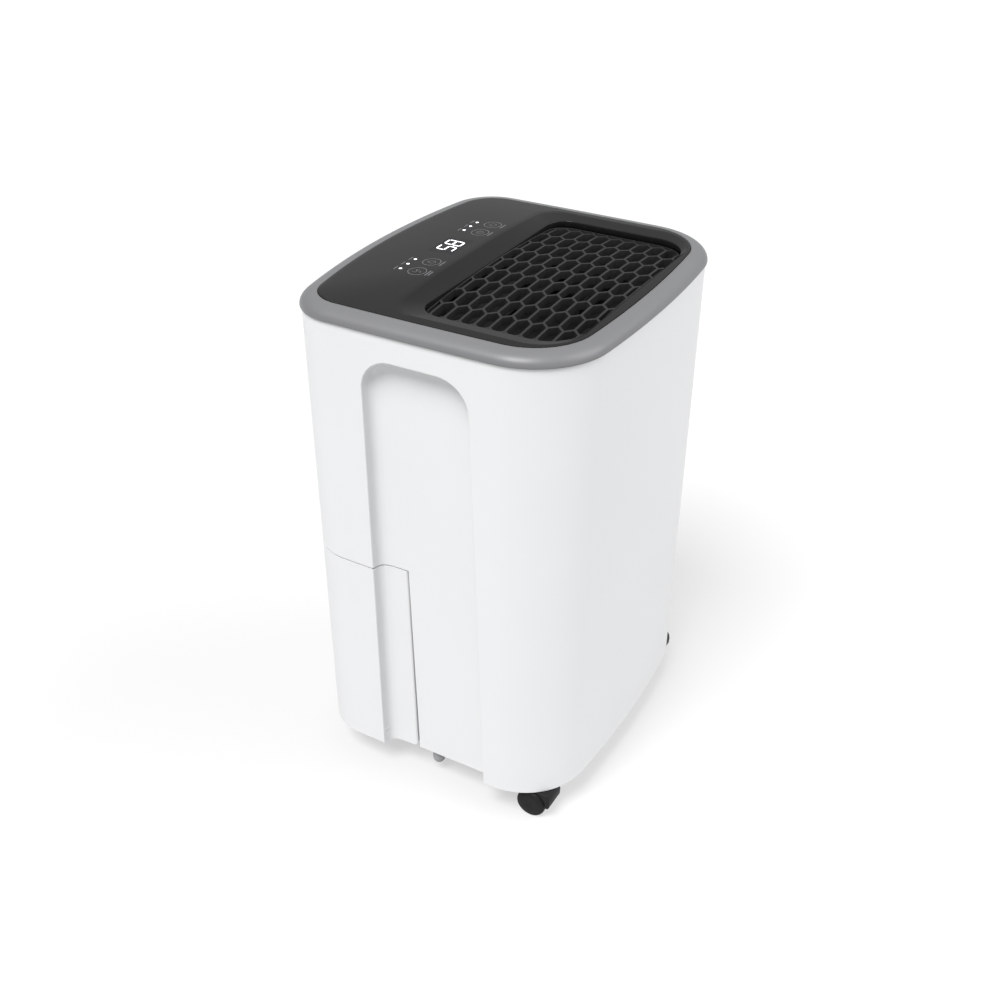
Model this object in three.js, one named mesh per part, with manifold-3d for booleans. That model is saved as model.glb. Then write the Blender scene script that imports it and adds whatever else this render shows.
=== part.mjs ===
// Portable dehumidifier on four swivel casters: white sleeve housing, a water tank that slides out
// at the back, a domed control panel with a honeycomb air outlet, and the refrigeration set inside.
// Millimetres, +Z up, front towards -Y. The origin is on the floor, under the middle of the housing.
import * as THREE from 'three';
import { LoftGeometry } from 'three/addons/geometries/LoftGeometry.js';
import { mergeVertices } from 'three/addons/utils/BufferGeometryUtils.js';
import Module from 'manifold-3d';

const wasm = await Module();
wasm.setup();

// driving dimensions
const halfWidth = 165.7;        // housing plan, at its top edge
const halfDepth = 146;
const frontBow = 1143;          // radii of the bowed front, rear and sides
const rearBow = 723;
const sideBow = 4780;
const frontCorner = 69;
const rearCorner = 49;
const draftX = 2.6;             // how much each side draws in towards the bottom
const draftY = 3;
const wall = 2.8;
const gap = 0.4;                // clearance between fitted pieces
const far = 200;                // past the housing on every side, for tools that cut

const bodyBottom = 32;          // heights above the floor
const bodyTop = 487;
const panelEdge = 498.6;
const panelCrown = 7;
const recessTop = 463;
const tankTop = 246.4;
const shelfHeight = 249.5;

const ringInset = 14.3;
const ringOverhang = 1.7;

const recessFloor = 152.5;      // distance of the grip recess's floor from the middle plane
const recessBack = 54;
const recessFrontTop = -50;
const recessFrontBottom = -63.5;
const recessCorner = 30;

const tankFrontTop = 24.6;      // the tank's front face leans back a little
const tankFrontBottom = 21;
const tankSeam = 2.2;

const outlet = { left: -128, right: 128, front: -120, rear: 21, corner: 26, lip: 497 };
const cell = { flat: 20, slant: 6.4, pitchY: 14.3, rib: 2.2, rim: 3, depth: 7, drop: 6 };

const caster = {
  x: 136, frontY: -113, rearX: 110, rearY: 92, radius: 15, halfTrack: 14.5, trail: 6, sides: 16,
  coverHalf: 12.6, webHalf: 3, stem: 4, stemTop: 43.6, axle: 2.3, axleHalf: 9, bore: 2.7,
};
const intake = { halfWidth: 124, bottom: 274, top: 466 };
// The hose outlet's place; the cord inlet mirrors it.
const outletPlace = { x: 112, z: 262.4, y: 134, hole: 8, flange: 9.8 };

// shape helpers
const v2 = (x, y) => new THREE.Vector2(x, y);
const range = (count) => [...Array(count).keys()];

// A closed geometry as a solid for cutting and joining, with its faces turned outwards.
function solid(geometry) {
  const bare = new THREE.BufferGeometry();
  bare.setAttribute('position', geometry.getAttribute('position').clone());
  if (geometry.index) bare.setIndex(geometry.index.clone());
  const merged = mergeVertices(bare, 1e-3);
  const points = merged.getAttribute('position').array;
  const kept = [];
  let volume = 0;
  const index = merged.index.array;
  const corner = [new THREE.Vector3(), new THREE.Vector3(), new THREE.Vector3()];
  for (let i = 0; i < index.length; i += 3) {
    const [a, b, c] = [index[i], index[i + 1], index[i + 2]];
    if (a === b || b === c || c === a) continue;
    [a, b, c].forEach((id, k) => corner[k].fromArray(points, id * 3));
    volume += corner[0].dot(corner[1].clone().cross(corner[2]));
    kept.push(a, b, c);
  }
  if (volume < 0) kept.reverse();
  return new wasm.Manifold(new wasm.Mesh({
    numProp: 3, vertProperties: new Float32Array(points), triVerts: new Uint32Array(kept),
  }));
}

function geometryOf(body) {
  const mesh = body.getMesh();
  const geometry = new THREE.BufferGeometry();
  geometry.setAttribute('position', new THREE.BufferAttribute(mesh.vertProperties, 3));
  geometry.setIndex(new THREE.BufferAttribute(mesh.triVerts, 1));
  return geometry;
}

const joined = (bodies) => bodies.reduce((sum, body) => sum.add(body));
const cut = (body, ...tools) => tools.reduce((rest, tool) => rest.subtract(tool), body);

function extruded(shape, length, steps = 6) {
  return new THREE.ExtrudeGeometry(shape, { depth: length, bevelEnabled: false, curveSegments: steps });
}

// An outline in plan, drawn up from one height to another.
function prism(points, low, high) {
  return solid(extruded(new THREE.Shape(points), high - low).translate(0, 0, low));
}

// A (y, z) outline drawn along X, and an (x, z) outline drawn along Y.
const alongXBasis = new THREE.Matrix4().makeBasis(
  new THREE.Vector3(0, 1, 0), new THREE.Vector3(0, 0, 1), new THREE.Vector3(1, 0, 0));
const alongYBasis = new THREE.Matrix4().makeBasis(
  new THREE.Vector3(1, 0, 0), new THREE.Vector3(0, 0, 1), new THREE.Vector3(0, -1, 0));

function alongX(shape, from, to, steps) {
  return solid(extruded(shape, to - from, steps).applyMatrix4(alongXBasis).translate(from, 0, 0));
}

function alongY(shape, from, to, steps) {
  return solid(extruded(shape, to - from, steps).applyMatrix4(alongYBasis).translate(0, to, 0));
}

function box(x0, x1, y0, y1, z0, z1) {
  const shape = new THREE.BoxGeometry(x1 - x0, y1 - y0, z1 - z0);
  return solid(shape.translate((x0 + x1) / 2, (y0 + y1) / 2, (z0 + z1) / 2));
}

const block = ({ left, right, front, rear, low, high }) => box(left, right, front, rear, low, high);

// A round bar: axis 'x', 'y' or 'z', from one place to another along it.
function bar(axis, radius, from, to, centre, sides = 12) {
  const shape = new THREE.CylinderGeometry(radius, radius, to - from, sides);
  const middle = (from + to) / 2;
  if (axis === 'x') shape.rotateZ(Math.PI / 2).translate(middle, centre[0], centre[1]);
  if (axis === 'y') shape.translate(centre[0], middle, centre[1]);
  if (axis === 'z') shape.rotateX(Math.PI / 2).translate(centre[0], centre[1], middle);
  return solid(shape);
}

// A turned piece about Z: [radius, height] pairs that start and end on the axis.
function turned(profile, sides = 24, start = 0) {
  const points = profile.map(([radius, height]) => v2(radius, height));
  return solid(new THREE.LatheGeometry(points, sides, start).rotateX(Math.PI / 2));
}

// A bent tube through a list of points.
function tube(points, radius, steps, sides = 6) {
  const path = new THREE.CatmullRomCurve3(points.map((p) => new THREE.Vector3(...p)), false, 'centripetal');
  const ring = range(sides).map((k) => {
    const angle = (k / sides) * 2 * Math.PI;
    return v2(radius * Math.cos(angle), radius * Math.sin(angle));
  });
  return solid(new THREE.ExtrudeGeometry(new THREE.Shape(ring), { steps, extrudePath: path }));
}

// the housing's plan outline
// One quadrant: bowed side, round corner, bowed front or rear, each a true arc, tangent to the next.
function quadrant(inset, bow, corner) {
  const sideRadius = sideBow - inset;
  const endRadius = bow - inset;
  const cornerRadius = corner - inset;
  const endCentre = v2(0, halfDepth - bow);
  const sideCentre = v2(halfWidth - sideBow, 0);
  const endReach = bow - corner;
  const sideReach = sideBow - corner;
  const between = sideCentre.clone().sub(endCentre);
  const span = between.length();
  const along = (endReach ** 2 - sideReach ** 2 + span ** 2) / (2 * span);
  const across = Math.sqrt(endReach ** 2 - along ** 2);
  const unit = between.clone().divideScalar(span);
  const centre = endCentre.clone().addScaledVector(unit, along)
    .addScaledVector(v2(unit.y, -unit.x), across);
  const sideAngle = centre.clone().sub(sideCentre).angle();
  const endAngle = centre.clone().sub(endCentre).angle();
  const arc = (middle, radius, from, to, count) => range(count).map((k) => {
    const angle = from + ((to - from) * k) / count;
    return v2(middle.x + radius * Math.cos(angle), middle.y + radius * Math.sin(angle));
  });
  return [
    ...arc(sideCentre, sideRadius, 0, sideAngle, 2),
    ...arc(centre, cornerRadius, sideAngle, endAngle, 5),
    ...arc(endCentre, endRadius, endAngle, Math.PI / 2, 2),
    v2(0, halfDepth - inset),
  ];
}

function plan(inset) {
  const rear = quadrant(inset, rearBow, rearCorner);
  const front = quadrant(inset, frontBow, frontCorner);
  const turn = (points, x, y) => points.map((p) => v2(p.x * x, p.y * y));
  return [
    ...rear.slice(0, -1),
    ...turn(rear, -1, 1).reverse().slice(0, -1),
    ...turn(front, -1, -1).slice(0, -1),
    ...turn(front, 1, -1).reverse().slice(0, -1),
  ];
}

const planPrism = (inset, low, high) => prism(plan(inset), low, high);

// The moulded draft: every outer shell narrows towards the bottom by the same rule.
function drafted(geometry) {
  const place = geometry.getAttribute('position');
  for (let i = 0; i < place.count; i += 1) {
    const drop = Math.max(0, bodyTop - place.getZ(i)) / (bodyTop - bodyBottom);
    place.setX(i, place.getX(i) * (1 - (drop * draftX) / halfWidth));
    place.setY(i, place.getY(i) * (1 - (drop * draftY) / halfDepth));
  }
  return geometry;
}

// The two grip recesses, grown by a wall thickness where their outer skin is wanted.
function recesses(grow) {
  const top = recessTop + grow;
  const back = recessBack + grow;
  const slope = (recessFrontTop - recessFrontBottom) / (recessTop - bodyBottom);
  const frontAt = (height) => recessFrontTop - grow - slope * (recessTop - height);
  const below = bodyBottom - 10;
  const side = new THREE.Shape();
  side.moveTo(frontAt(below), below);
  side.lineTo(back + 6, below);
  side.lineTo(back + 6, top - recessCorner);
  side.quadraticCurveTo(back + 6, top, back - recessCorner, top);
  side.lineTo(recessFrontTop - grow + recessCorner, top);
  side.quadraticCurveTo(frontAt(top), top, frontAt(top - recessCorner), top - recessCorner);
  const inner = recessFloor - grow;
  const section = new THREE.Shape();
  section.moveTo(inner, recessFrontBottom - 20);
  section.lineTo(halfWidth + 15, recessFrontBottom - 20);
  section.lineTo(halfWidth + 15, back + 2);
  section.lineTo(halfWidth - 4, back);
  section.quadraticCurveTo(inner + 0.5, back - 2, inner, back - 15);
  const right = alongX(side, inner - 1, halfWidth + 16, 5)
    .intersect(solid(extruded(section, top + 20 - below, 5).translate(0, 0, below - 5)));
  return right.add(right.mirror([1, 0, 0]));
}

// Everything behind a slightly leaning plane and under a given height: the tank's place.
function tankPlace(forward, top) {
  const shape = new THREE.Shape([
    v2(tankFrontTop - forward, top),
    v2(tankFrontBottom - forward, bodyBottom),
    v2(tankFrontBottom - forward, bodyBottom - 20),
    v2(halfDepth + 20, bodyBottom - 20),
    v2(halfDepth + 20, top),
  ]);
  return alongX(shape, -halfWidth - 20, halfWidth + 20);
}

// A plan rectangle with round corners and a few points along its long sides.
function roundedPlan({ left, right, front, rear, corner }, grow = 0) {
  const [x0, x1, y0, y1] = [left - grow, right + grow, front - grow, rear + grow];
  const radius = corner + grow;
  const centres = [[x1, y1, -1, -1], [x0, y1, 1, -1], [x0, y0, 1, 1], [x1, y0, -1, 1]];
  const points = [];
  centres.forEach(([x, y, sx, sy], k) => {
    range(6).forEach((step) => {
      const angle = (k + step / 5) * (Math.PI / 2);
      points.push(v2(
        x + sx * radius + radius * Math.cos(angle), y + sy * radius + radius * Math.sin(angle)));
    });
    if (k % 2 === 0) {
      const last = points[points.length - 1];
      const far = k === 0 ? x0 + radius : x1 - radius;
      range(5).forEach((step) => points.push(v2(last.x + ((far - last.x) * (step + 1)) / 6, last.y)));
    }
  });
  return points;
}

const atHeight = (points, height) => points.map((p) => new THREE.Vector3(p.x, p.y, height));

// materials
const material = (color, roughness, metalness = 0) => (
  new THREE.MeshStandardMaterial({ color, roughness, metalness }));
const whitePlastic = () => material(0xe9e9e9, 0.38);
const greyPlastic = () => material(0x8e8e90, 0.4);
const darkPlastic = () => material(0x2c2c2e, 0.5);
const panelGloss = () => material(0x2a2a2c, 0.16);
const innerPlastic = () => material(0x6a6c70, 0.6);
const steel = () => material(0xb9bcc0, 0.35, 1);
const copper = () => material(0xb87333, 0.3, 1);
const aluminium = () => material(0xc6c8ca, 0.4, 1);
const blackPaint = () => material(0x18181a, 0.45);
const rubber = () => material(0x232325, 0.85);
const greyRubber = () => material(0x7d7d80, 0.8);
const circuit = () => material(0x1f5a38, 0.55);
const meshCloth = () => material(0x3a3b3d, 0.9);

const dehumidifier = new THREE.Group();
dehumidifier.name = 'dehumidifier';

function add(name, shape, finish, parent = dehumidifier) {
  const geometry = shape.isBufferGeometry ? shape : geometryOf(shape);
  const mesh = new THREE.Mesh(geometry, finish);
  mesh.name = name;
  parent.add(mesh);
  return mesh;
}

// housing
// One tall sleeve, moulded as a tube, with the recess walls carried inwards, the tank bay cut out of
// its lower rear and a window for the intake.
function housingSleeve() {
  const outer = planPrism(0, bodyBottom, bodyTop);
  const hollow = planPrism(wall, bodyBottom - 5, bodyTop + 5).subtract(recesses(wall));
  const bay = tankPlace(tankSeam, tankTop + 1.2);
  const shell = solid(drafted(geometryOf(cut(outer, recesses(0), hollow, bay))));
  const window = box(-intake.halfWidth, intake.halfWidth, halfDepth - 40, halfDepth + 10,
    intake.bottom, intake.top);
  const { x, z } = outletPlace;
  const holes = [x, -x].map((side) => bar('y', outletPlace.hole, 90, 160, [side, z], 10));
  return cut(shell, window, ...holes);
}

// The convex trim between the housing's top edge and the panel.
function topRing() {
  const rows = [];
  const quarter = (reach, rise, count, back) => range(count + 1).forEach((k) => {
    const angle = ((back ? count - k : k) / count) * (Math.PI / 2);
    rows.push([ringInset - reach * Math.cos(angle), bodyTop + 0.3 + rise * Math.sin(angle)]);
  });
  const rise = panelEdge - bodyTop - 0.3;
  quarter(ringInset + ringOverhang, rise, 5, false);
  quarter(ringInset + ringOverhang - wall, rise - wall, 3, true);
  const loops = rows.map(([inset, height]) => atHeight(plan(inset), height));
  return solid(new LoftGeometry([...loops, loops[0]]));
}

// The flat floor under the panel, with the air duct's opening.
const deck = { low: bodyTop - 3.5, high: bodyTop - 0.5, opening: 3.6 };

function topDeck() {
  const plate = planPrism(wall + gap, deck.low, deck.high);
  return cut(plate, prism(roundedPlan(outlet, deck.opening), bodyTop - 10, bodyTop + 5));
}

// The panel: a shallow dome with a sloped scoop down to the outlet's lip, hollow underneath.
function dome(inset, lower, bottom) {
  const edge = plan(inset);
  const rows = [1, 0.86, 0.72, 0.56, 0.38, 0.2];
  const loops = rows.map((share) => edge.map((p) => new THREE.Vector3(
    p.x * share, p.y * share, panelEdge - lower + panelCrown * (1 - share ** 2))));
  return solid(new LoftGeometry([atHeight(edge, bottom), ...loops], { capStart: true, capEnd: true }));
}

// The scoop widens from the outlet to a mouth that lies above the dome.
const mouth = { left: -188, right: 188, front: -126, rear: 45, corner: 30, rise: 10 };

function scoop(grow) {
  const low = atHeight(roundedPlan(outlet, grow), outlet.lip - grow);
  const high = atHeight(roundedPlan(mouth, grow), outlet.lip + mouth.rise - grow);
  return solid(new LoftGeometry([low, high], { capStart: true, capEnd: true }));
}

function controlPanel() {
  const skin = 3;
  const well = scoop(skin).add(prism(roundedPlan(outlet, skin), bodyTop - 3, outlet.lip - skin + 0.1));
  const hollow = dome(ringInset + gap + skin, skin, bodyTop - 2).subtract(well);
  const slab = dome(ringInset + gap, 0, bodyTop);
  return cut(slab, hollow, scoop(0), prism(roundedPlan(outlet), bodyTop - 5, outlet.lip + 0.1));
}

// The honeycomb: long six-sided cells in staggered columns, inside a plain rim. The whole grille is
// crowned, lower at its two ends.
function outletGrille() {
  const high = outlet.lip - 0.5;
  const low = high - cell.depth;
  const clear = (cell.pitchY - cell.rib) / 2;
  const flat = cell.flat / 2 - cell.rib / 4;
  const tip = cell.flat / 2 + cell.slant - cell.rib / 1.8;
  const hole = [[tip, 0], [flat, clear], [-flat, clear], [-tip, 0], [-flat, -clear], [flat, -clear]];
  const pitchX = cell.flat + cell.slant;
  const middleY = (outlet.front + outlet.rear) / 2;
  const cells = [];
  for (let column = -5; column <= 5; column += 1) {
    for (let row = -5; row <= 5; row += 1) {
      const x = column * pitchX;
      const y = middleY + (row + (column % 2 === 0 ? 0 : 0.5)) * cell.pitchY;
      if (Math.abs(y - middleY) > (outlet.rear - outlet.front) / 2 + clear) continue;
      cells.push(prism(hole.map(([dx, dy]) => v2(x + dx, y + dy)), low - 2, high + 2));
    }
  }
  const field = wasm.Manifold.union(cells)
    .intersect(prism(roundedPlan(outlet, -gap - cell.rim), low - 3, high + 3));
  const grille = geometryOf(prism(roundedPlan(outlet, -gap), low, high).subtract(field));
  const place = grille.getAttribute('position');
  for (let i = 0; i < place.count; i += 1) {
    place.setZ(i, place.getZ(i) - cell.drop * (place.getX(i) / outlet.right) ** 2);
  }
  return grille;
}

// base and bulkhead
const casterPlaces = [
  { name: 'front_left', x: -caster.x, y: caster.frontY },
  { name: 'front_right', x: caster.x, y: caster.frontY },
  { name: 'rear_left', x: -caster.rearX, y: caster.rearY },
  { name: 'rear_right', x: caster.rearX, y: caster.rearY },
];
const compressorPlace = { x: -62, y: -62 };
const dripY = 74;               // where condensate drops from the tray into the tank
const footReach = 62;           // the compressor's three feet, measured from its middle
const footAngles = [90, 210, 330].map((degrees) => (degrees * Math.PI) / 180);
const footPlaces = footAngles.map((angle) => [footReach * Math.cos(angle), footReach * Math.sin(angle)]);
const footPlace = { x: 139, y: 3 };   // the stop feet under the tank's front edge

// A tray with a downturned edge: in front it fills the sleeve, behind it reaches under the tank.
// It has a socket for each caster's stem, two rails for the tank and a pin for each compressor foot.
const base = {
  floor: 38, rim: 44, skin: 2.4, frontEnd: 17, rearHalf: 134, rearGap: 1.6,
  socket: { radius: 6.4, bore: 4.4, high: 7.4 }, rail: { x: 63, half: 3, front: 30, rear: 120, top: 45.6 },
  footBore: 3.4, pin: { radius: 3, top: 56 },
};

function basePan() {
  const { floor, skin, socket, rail, pin } = base;
  const tray = (inset, low, high) => {
    const half = base.rearHalf - inset;
    const front = planPrism(wall + gap + inset, low, high)
      .intersect(box(-far, far, -far, base.frontEnd - inset, low - 1, high + 1));
    const rear = planPrism(wall + base.rearGap + inset, low, high)
      .intersect(box(-half, half, 0, far, low - 1, high + 1));
    return front.add(rear).subtract(recesses(wall + gap + inset));
  };
  let pan = solid(drafted(geometryOf(
    cut(tray(0, bodyBottom + 1, base.rim), tray(skin, floor + 3, 60), tray(skin, 20, floor)))));
  const inside = solid(drafted(geometryOf(planPrism(wall + gap, 30, 60))));
  casterPlaces.forEach(({ x, y }) => {
    pan = pan.add(bar('z', socket.radius, floor - 4, floor + socket.high, [x, y], 10).intersect(inside));
    pan = pan.subtract(bar('z', socket.bore, floor - 10, floor + 6, [x, y], 10));
  });
  [-1, 1].forEach((side) => {
    const middle = side * rail.x;
    const foot = [side * footPlace.x, footPlace.y];
    pan = pan.subtract(bar('z', base.footBore, floor - 5, floor + 5, foot, 10));
    pan = pan.add(box(middle - rail.half, middle + rail.half, rail.front, rail.rear, floor + 2, rail.top));
  });
  footPlaces.forEach(([x, y]) => {
    const place = [compressorPlace.x + x, compressorPlace.y + y];
    pan = pan.add(bar('z', pin.radius, floor + 1, pin.top, place, 8));
  });
  return pan;
}

// Wall in front of the tank bay and the shelf that carries the heat exchangers over it.
const divider = { skin: 2.4, wallY: 12, bottom: 45, shelfFront: -76, shelfRear: 136, funnel: 7 };
const pipeSlot = { left: 92, right: 130, front: -80, rear: -20 };

function bulkhead() {
  const { skin, wallY, bottom, shelfFront, shelfRear } = divider;
  const section = new THREE.Shape([
    v2(wallY, bottom), v2(wallY + skin, bottom), v2(wallY + skin, shelfHeight), v2(shelfRear, shelfHeight),
    v2(shelfRear, shelfHeight + skin), v2(shelfFront, shelfHeight + skin), v2(shelfFront, shelfHeight),
    v2(wallY, shelfHeight),
  ]);
  const wide = planPrism(wall + 3.4, 40, 300).subtract(recesses(wall + 1.2));
  const pipeWay = box(
    pipeSlot.left, pipeSlot.right, pipeSlot.front, pipeSlot.rear, shelfHeight - 5, shelfHeight + 5);
  const funnel = bar('z', divider.funnel, shelfHeight - 5, shelfHeight + 5, [0, dripY], 10);
  const panel = solid(drafted(geometryOf(alongX(section, -146, 146).intersect(wide))));
  return cut(panel, pipeWay, funnel);
}

// tank
// An open bucket on a skirt, with a hollow at the back to pull it by.
const tank = { floor: 46, skin: 2.6, pull: { half: 48, depth: 18, low: 170, high: 200 } };

function tankBucket() {
  const { floor, skin } = tank;
  const { half, depth, low, high } = tank.pull;
  const place = tankPlace(0, tankTop);
  const outer = planPrism(0, bodyBottom, tankTop).subtract(recesses(0)).intersect(place);
  const water = planPrism(skin, floor + skin, tankTop + 5).subtract(recesses(skin))
    .intersect(tankPlace(-skin, tankTop + 6));
  const under = planPrism(skin, bodyBottom - 5, floor).subtract(recesses(skin));
  const front = halfDepth - depth;
  const pull = box(-half, half, front, halfDepth + 10, low, high);
  const pullWall = box(-half - skin, half + skin, front - skin, halfDepth + 10, low - skin, high + skin);
  return drafted(geometryOf(cut(outer, water.subtract(pullWall), under, pull)));
}

// A sunk lid over the tank's front half, with a drip hole and a stiffening lip.
const lid = {
  inset: 3.6, low: tankTop - 8, high: tankTop - 5.6, rear: 82, hole: 10, lipHalf: 70, lipLow: tankTop - 14,
};

function tankLid() {
  const plate = planPrism(lid.inset, lid.low, lid.high).subtract(recesses(lid.inset))
    .intersect(tankPlace(-3.4, tankTop + 5)).intersect(box(-far, far, 0, lid.rear, far, 300));
  const drip = bar('z', lid.hole, tankTop - 20, tankTop, [0, dripY - 10], 12);
  const lip = box(-lid.lipHalf, lid.lipHalf, lid.rear - 3, lid.rear - 1, lid.lipLow, tankTop - 6);
  return drafted(geometryOf(cut(plate.add(lip), drip)));
}

// A fixed carry bar across the open part of the tank, on two end lugs.
const handle = { front: 84, rear: 104, low: tankTop - 8, high: tankTop - 2, grip: 9, gripHalf: 60 };

function tankHandle() {
  const middle = (handle.front + handle.rear) / 2;
  const across = box(-far, far, handle.front, handle.rear, handle.low, handle.high)
    .intersect(planPrism(wall + gap, tankTop - 20, tankTop));
  const grip = bar('x', handle.grip, -handle.gripHalf, handle.gripHalf, [middle, tankTop - 11], 10)
    .intersect(box(-70, 70, 80, 110, far, tankTop - 7));
  return drafted(geometryOf(across.add(grip)));
}

// The float hangs on two ears by the tank's front wall and lifts when the tank is full.
const float = {
  x: 23, y: 34, z: 205, armHalf: 3, tail: 2.4, reach: 30, pin: 2, pinHalf: 11,
  bulb: { half: 15, front: 24, rear: 44, below: 14, above: 6 },
};
const ears = { half: 16, thick: 3, front: 28.4, plate: 2, rear: 5, high: 6, bore: 2.4 };

function tankFloat() {
  const { x, y, z, bulb } = float;
  const arm = box(x - float.armHalf, x + float.armHalf, y - float.tail, y + float.reach,
    z - float.armHalf, z + float.armHalf);
  const body = box(x - bulb.half, x + bulb.half, y + bulb.front, y + bulb.rear,
    z - bulb.below, z + bulb.above);
  const pin = bar('x', float.pin, x - float.pinHalf, x + float.pinHalf, [y, z], 8);
  return joined([arm, body, pin]);
}

function floatBracket() {
  const { x, y, z } = float;
  const { half, thick, front } = ears;
  const ear = (side) => box(side, side + thick, front, y + ears.rear, z - ears.high, z + ears.high);
  const back = box(x - half, x + half, front, front + ears.plate, z - ears.high, z + ears.high);
  return cut(joined([ear(x - half), ear(x + half - thick), back]), bar('x', ears.bore, 0, 50, [y, z], 8));
}

// intake and outlets at the back
// A curved cover with two columns of slots, set flush in the housing's window.
const louvre = { skin: 2.4, inset: 0.2, rows: 13, rim: 12, first: 14, edge: 10, middle: 5, blade: 5 };

function intakeGrille() {
  const half = intake.halfWidth - gap;
  const shell = planPrism(louvre.inset, intake.bottom + gap, intake.top - gap)
    .subtract(planPrism(louvre.inset + louvre.skin, 100, 600))
    .intersect(box(-half, half, 80, far, 100, 600));
  const slots = [];
  const pitch = (intake.top - intake.bottom - 2 * louvre.rim) / louvre.rows;
  range(louvre.rows).forEach((row) => {
    const low = intake.bottom + louvre.first + row * pitch;
    [-1, 1].forEach((side) => {
      const reach = half - louvre.edge;
      const [x0, x1] = side < 0 ? [-reach, -louvre.middle] : [louvre.middle, reach];
      slots.push(box(x0, x1, 90, 180, low, low + pitch - louvre.blade));
    });
  });
  return drafted(geometryOf(shell.subtract(wasm.Manifold.union(slots))));
}

const filterFace = { y: 121, half: 116, bottom: 280, top: 458, rib: 5, windows: 3, edge: 2 };

function filterFrame() {
  const { y, half, bottom, top, rib, windows } = filterFace;
  let frame = box(-half, half, y - rib / 2, y + rib / 2, bottom, top);
  const wide = (2 * half - rib * (windows + 1)) / windows;
  const tall = (top - bottom - rib * (windows + 1)) / windows;
  range(windows).forEach((column) => range(windows).forEach((row) => {
    const x = -half + rib + column * (wide + rib);
    const z = bottom + rib + row * (tall + rib);
    frame = frame.subtract(box(x, x + wide, y - 10, y + 10, z, z + tall));
  }));
  return frame;
}

function filterMesh() {
  const { y, half, bottom, top, edge } = filterFace;
  return box(-half + edge, half - edge, y - 3.6, y - 2.8, bottom + edge, top - edge);
}

// Sleeves through the housing: each has a flange inside the wall and a bore right through.
function flangedSleeve(x, radius, bore, rear, sides) {
  const { y, z, flange } = outletPlace;
  const sleeve = bar('y', radius, y - 17, y + rear, [x, z], 12);
  const collar = bar('y', flange, y - 14, y - 11.5, [x, z], 12);
  return cut(sleeve.add(collar), bar('y', bore, y - 30, y + 20, [x, z], sides));
}

const hoseOutlet = () => flangedSleeve(outletPlace.x, 7.4, 5.6, 6, 12);
const cordGland = () => flangedSleeve(-outletPlace.x, 7.2, 3.6, 8, 10);

function hoseCap() {
  const { x, z, y } = outletPlace;
  const plug = bar('y', 5.1, y - 6, y + 8, [x, z], 10);
  const head = bar('y', 8.2, y + 6.6, y + 10, [x, z], 12);
  return plug.add(head);
}

// refrigeration set
const coil = { half: 108, bottom: 256, rows: 5, pitch: 36, tube: 4.2, first: 272, bend: 12 };
const evaporatorY = 98;
const condenserY = 68;
const coilDepth = 22;
const fin = { count: 14, groove: 2, web: 6 };

// Horizontal runs joined by half-round bends at alternate ends.
function coilTube(y) {
  const runs = [];
  range(coil.rows).forEach((row) => {
    const z = coil.first + row * coil.pitch;
    runs.push(bar('x', coil.tube, -coil.half - 6, coil.half + 6, [y, z], 6));
    if (row === coil.rows - 1) return;
    const side = row % 2 === 0 ? 1 : -1;
    const bend = range(5).map((k) => {
      const angle = -Math.PI / 2 + (k / 4) * Math.PI;
      const reach = coil.bend * Math.cos(angle);
      return [side * (coil.half + 4 + reach), y, z + coil.pitch / 2 + (coil.pitch / 2) * Math.sin(angle)];
    });
    runs.push(tube(bend, coil.tube, 6, 6));
  });
  return joined(runs);
}

// The fin pack, grooved on both faces, bored for the runs.
function finPack(y) {
  const half = coil.half;
  const top = coil.first + 16 + (coil.rows - 1) * coil.pitch;
  let pack = box(-half, half, y - coilDepth / 2, y + coilDepth / 2, coil.bottom, top);
  const pitch = (2 * half) / fin.count;
  const grooves = [];
  range(fin.count - 1).forEach((k) => {
    const x = -half + (k + 1) * pitch;
    grooves.push(box(x - fin.groove, x + fin.groove, y - coilDepth, y - fin.web, far, 600));
    grooves.push(box(x - fin.groove, x + fin.groove, y + fin.web, y + coilDepth, far, 600));
  });
  pack = pack.subtract(wasm.Manifold.union(grooves));
  range(coil.rows).forEach((row) => {
    const z = coil.first + row * coil.pitch;
    pack = pack.subtract(bar('x', coil.tube + 0.5, -half - 5, half + 5, [y, z], 6));
  });
  return pack;
}

// A sloped gutter below the evaporator with a spout over the tank.
const gutter = { half: 122, front: 54, rear: 114, low: 252.6, high: 262.6, skin: 2, spout: 6, bore: 4 };

function dripTray() {
  const { half, front, rear, low, high, skin } = gutter;
  const outer = box(-half, half, front, rear, low, high);
  const inner = box(-half + skin, half - skin, front + skin, rear - skin, low + skin, high + 8);
  const spout = bar('z', gutter.spout, tankTop + 1, low + 1.4, [0, dripY], 10);
  return cut(outer.subtract(inner).add(spout), bar('z', gutter.bore, 230, 270, [0, dripY], 10));
}

const scroll = {
  z: 362, radius: 92, front: -72, rear: -4, skin: 2.4, throat: -10, top: 478, wrap: 1.28,
  foot: { x: 52, half: 9, low: 252.4, high: 300 }, mouth: 62, motorHole: 46,
};

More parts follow.
